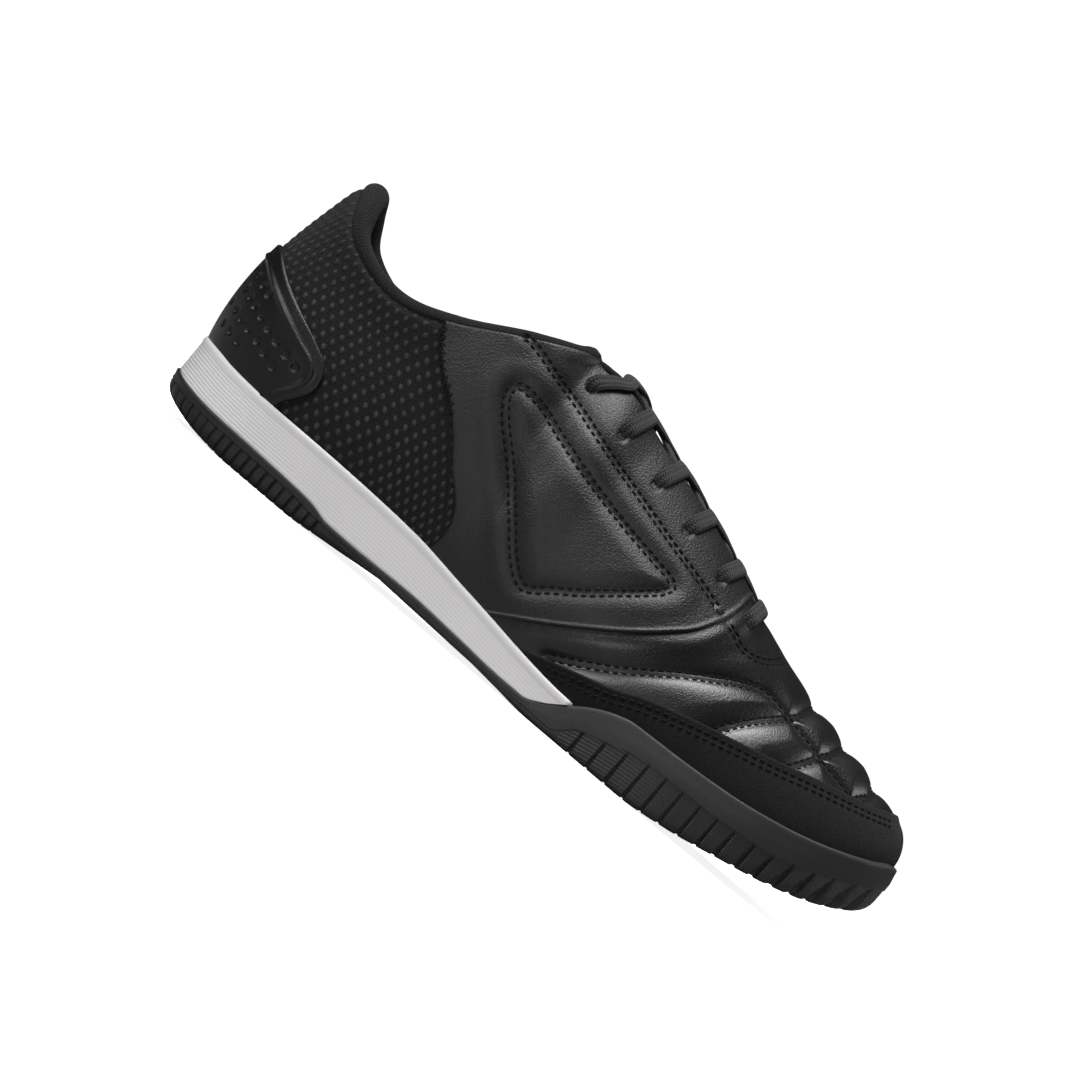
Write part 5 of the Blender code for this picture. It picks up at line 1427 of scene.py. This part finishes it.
def lace_run(index, side, bar=False):
    """One run from its eyelet over the throat to the other side, one eyelet further to the toe."""
    (q_from, v_from), (q_to, v_to) = ([values[index] for values in eyelet_places(side)],
                                      [values[index if bar else index + 1] for values in eyelet_places(-side)])
    u_from, u_to = float(split(q_from)[0]), float(split(q_to)[0])
    lean = 0.50 if index == 0 else 0.10
    u_over = u_from + (u_to - u_from) * (0 if bar else lean)
    q_over = u_over if side < 0 else 2 - u_over
    edge_from, edge_to = float(throat_edge(q_over)), float(throat_edge(q_to))
    high = 0.0012 if index == 0 else 0.0
    over = 0.0006 if side < 0 else -0.0003
    u_mid = (u_over + u_to) / 2
    q_mid = u_mid if side < 0 else 2 - u_mid
    top = 0.0028
    # q, v and lift over the last of each stop, and the lace's width and thickness there as shares
    stops = [
        (q_from, v_from, -0.0010, 0.96, 1.25),
        (q_from, v_from + 0.20 * (edge_from - v_from), 0.0024, 1.0, 1.2),
        ((q_from + q_over) / 2, v_from + 0.55 * (edge_from - v_from), top + 0.0003, 1.0, 1.0),
        (q_over, edge_from, top + 0.2 * high, 1.0, 1.0),
        (q_over, edge_from + 0.45 * (1 - edge_from), 0.0012 + high, 1.0, 1.0),
        (q_mid, 1.0, over + 0.0002 + high, 1.0, 1.0),
    ]
    if bar:
        stops += [(q_to, edge_to + 0.45 * (1 - edge_to), 0.0012, 1.0, 1.0), (q_to, edge_to, top, 1.0, 1.0),
                  (q_to, v_to + 0.25 * (edge_to - v_to), 0.0028, 0.85, 1.2), (q_to, v_to, -0.0006, 0.6, 1.25)]
    else:
        stops += [(q_to, edge_to + 0.45 * (1 - edge_to), over - 0.0010 + 0.4 * high, 1.0, 1.0),
                  (q_to, walk_down(q_to, edge_to, 0.0006), -0.0026, 1.0, 1.0),
                  (q_to, walk_down(q_to, edge_to, 0.0050), -0.0034, 0.9, 1.0)]
    q, v, lift, width, depth = np.array(stops).T
    v = np.clip(v, 0, 0.999)
    return lace_rings(lifted(q, v, lift), outward(q, np.minimum(v, 0.99)), width * LACE_WIDTH, depth * LACE_THICKNESS)


lace_parts = [lace_run(5, -1, bar=True)]
for index in range(5):
    lace_parts += [lace_run(index, 1), lace_run(index, -1)]
lace = make_piece("lace", lace_parts, [make_braid()])
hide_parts("lace_bar", *(f"lace_cross_{number}" for number in range(1, 6)))


# ---- Floor, lights and camera ----------------------------------------------------------------------------------
# A white sweep of paper under soft studio light, seen from the outer side with the camera rolled as in the
# photograph, so that the toe points down to the right.
PHOTO_ROLL, PHOTO_TURN, PHOTO_WIDTH, CAMERA_DISTANCE = radians(40), radians(-3.5), 0.353, 1.4
NEAR_SIDE = 0.030


def make_sweep():
    """The paper, which glows for the camera alone, so that it stays white without lighting the shoe."""
    curve = [(2.6 + 0.9 * sin(a), 0.9 - 0.9 * cos(a)) for a in np.linspace(0.15, pi / 2, 12)]
    profile = [(-3.0, 0.0), (2.6, 0.0), *curve, (3.5, 4.0)]
    mesh = bpy.data.meshes.new("paper_sweep")
    verts = [(x, y, z) for x in (-5, 5) for y, z in profile]
    n = len(profile)
    mesh.from_pydata(verts, [], [(i, i + n, i + n + 1, i + 1) for i in range(n - 1)])
    material, tree, shader = new_finish(
        "white_paper", (0.93, 0.93, 0.93), 0.9, Emission_Strength=1.0, Specular_IOR_Level=0.0)
    seen = tree.nodes.new("ShaderNodeLightPath").outputs["Is Camera Ray"]
    tree.links.new(between(tree, seen, (0.30, 0.30, 0.30), (0.93, 0.93, 0.93)), shader.inputs["Base Color"])
    parts = add(tree, "ShaderNodeSeparateXYZ", tree.nodes.new("ShaderNodeTexCoord").outputs["Object"])
    away = add(tree, "ShaderNodeMapRange", parts.outputs[1], 0.3, 1.6, 0.0, 1.0).outputs[0]
    glow = maths(tree, "MULTIPLY", seen, maths(tree, "MULTIPLY_ADD", away, 0.12, 0.88))
    tree.links.new(between(tree, glow, (0, 0, 0), (1, 1, 1)), shader.inputs["Emission Color"])
    mesh.materials.append(material)
    mesh.shade_smooth()
    sweep = bpy.data.objects.new("paper_sweep", mesh)
    bpy.context.scene.collection.objects.link(sweep)


make_sweep()


def aim(obj, place, target):
    obj.location = place
    obj.rotation_euler = (Vector(target) - Vector(place)).to_track_quat("-Z", "Y").to_euler()


def soft_light(name, place, size, power):
    light = bpy.data.lights.new(name, "AREA")
    light.shape = "DISK"
    light.size = size
    light.energy = power
    obj = bpy.data.objects.new(name, light)
    bpy.context.scene.collection.objects.link(obj)
    aim(obj, place, (0.0, 0.0, 0.05))


soft_light("key_from_above", (-0.13, -0.13, 1.33), 0.75, 8.5)
soft_light("top_from_behind", (-0.26, 0.13, 1.32), 0.6, 8.5)
soft_light("heel_side", (-0.80, -0.66, 0.85), 0.6, 7.5)
soft_light("toe_from_behind", (0.99, 0.53, 0.71), 0.6, 2.5)
soft_light("low_front", (0.13, -1.26, 0.31), 0.6, 2.5)

world = bpy.data.worlds.new("white_room")
world.use_nodes = True
world.node_tree.nodes["Background"].inputs["Color"].default_value = (1, 1, 1, 1)
world.node_tree.nodes["Background"].inputs["Strength"].default_value = 0.03
bpy.context.scene.world = world
bpy.context.scene.view_settings.view_transform = "Standard"

lens = bpy.data.cameras.new("photo_camera")
lens.sensor_width = 36
lens.lens = 36 * CAMERA_DISTANCE / PHOTO_WIDTH
camera = bpy.data.objects.new("photo_camera", lens)
bpy.context.scene.collection.objects.link(camera)
level, vertical = Vector((cos(PHOTO_TURN), -sin(PHOTO_TURN), 0)), Vector((0, 0, 1))
across = cos(PHOTO_ROLL) * level + sin(PHOTO_ROLL) * vertical
upward = cos(PHOTO_ROLL) * vertical - sin(PHOTO_ROLL) * level
backward = across.cross(upward)
middle = Vector((0.131 + LAST_TO_ROW[0], -NEAR_SIDE, 0.046))
turned = Matrix((across, upward, backward)).transposed().to_4x4()
camera.matrix_world = Matrix.Translation(middle + backward * (CAMERA_DISTANCE - NEAR_SIDE)) @ turned
bpy.context.scene.camera = camera
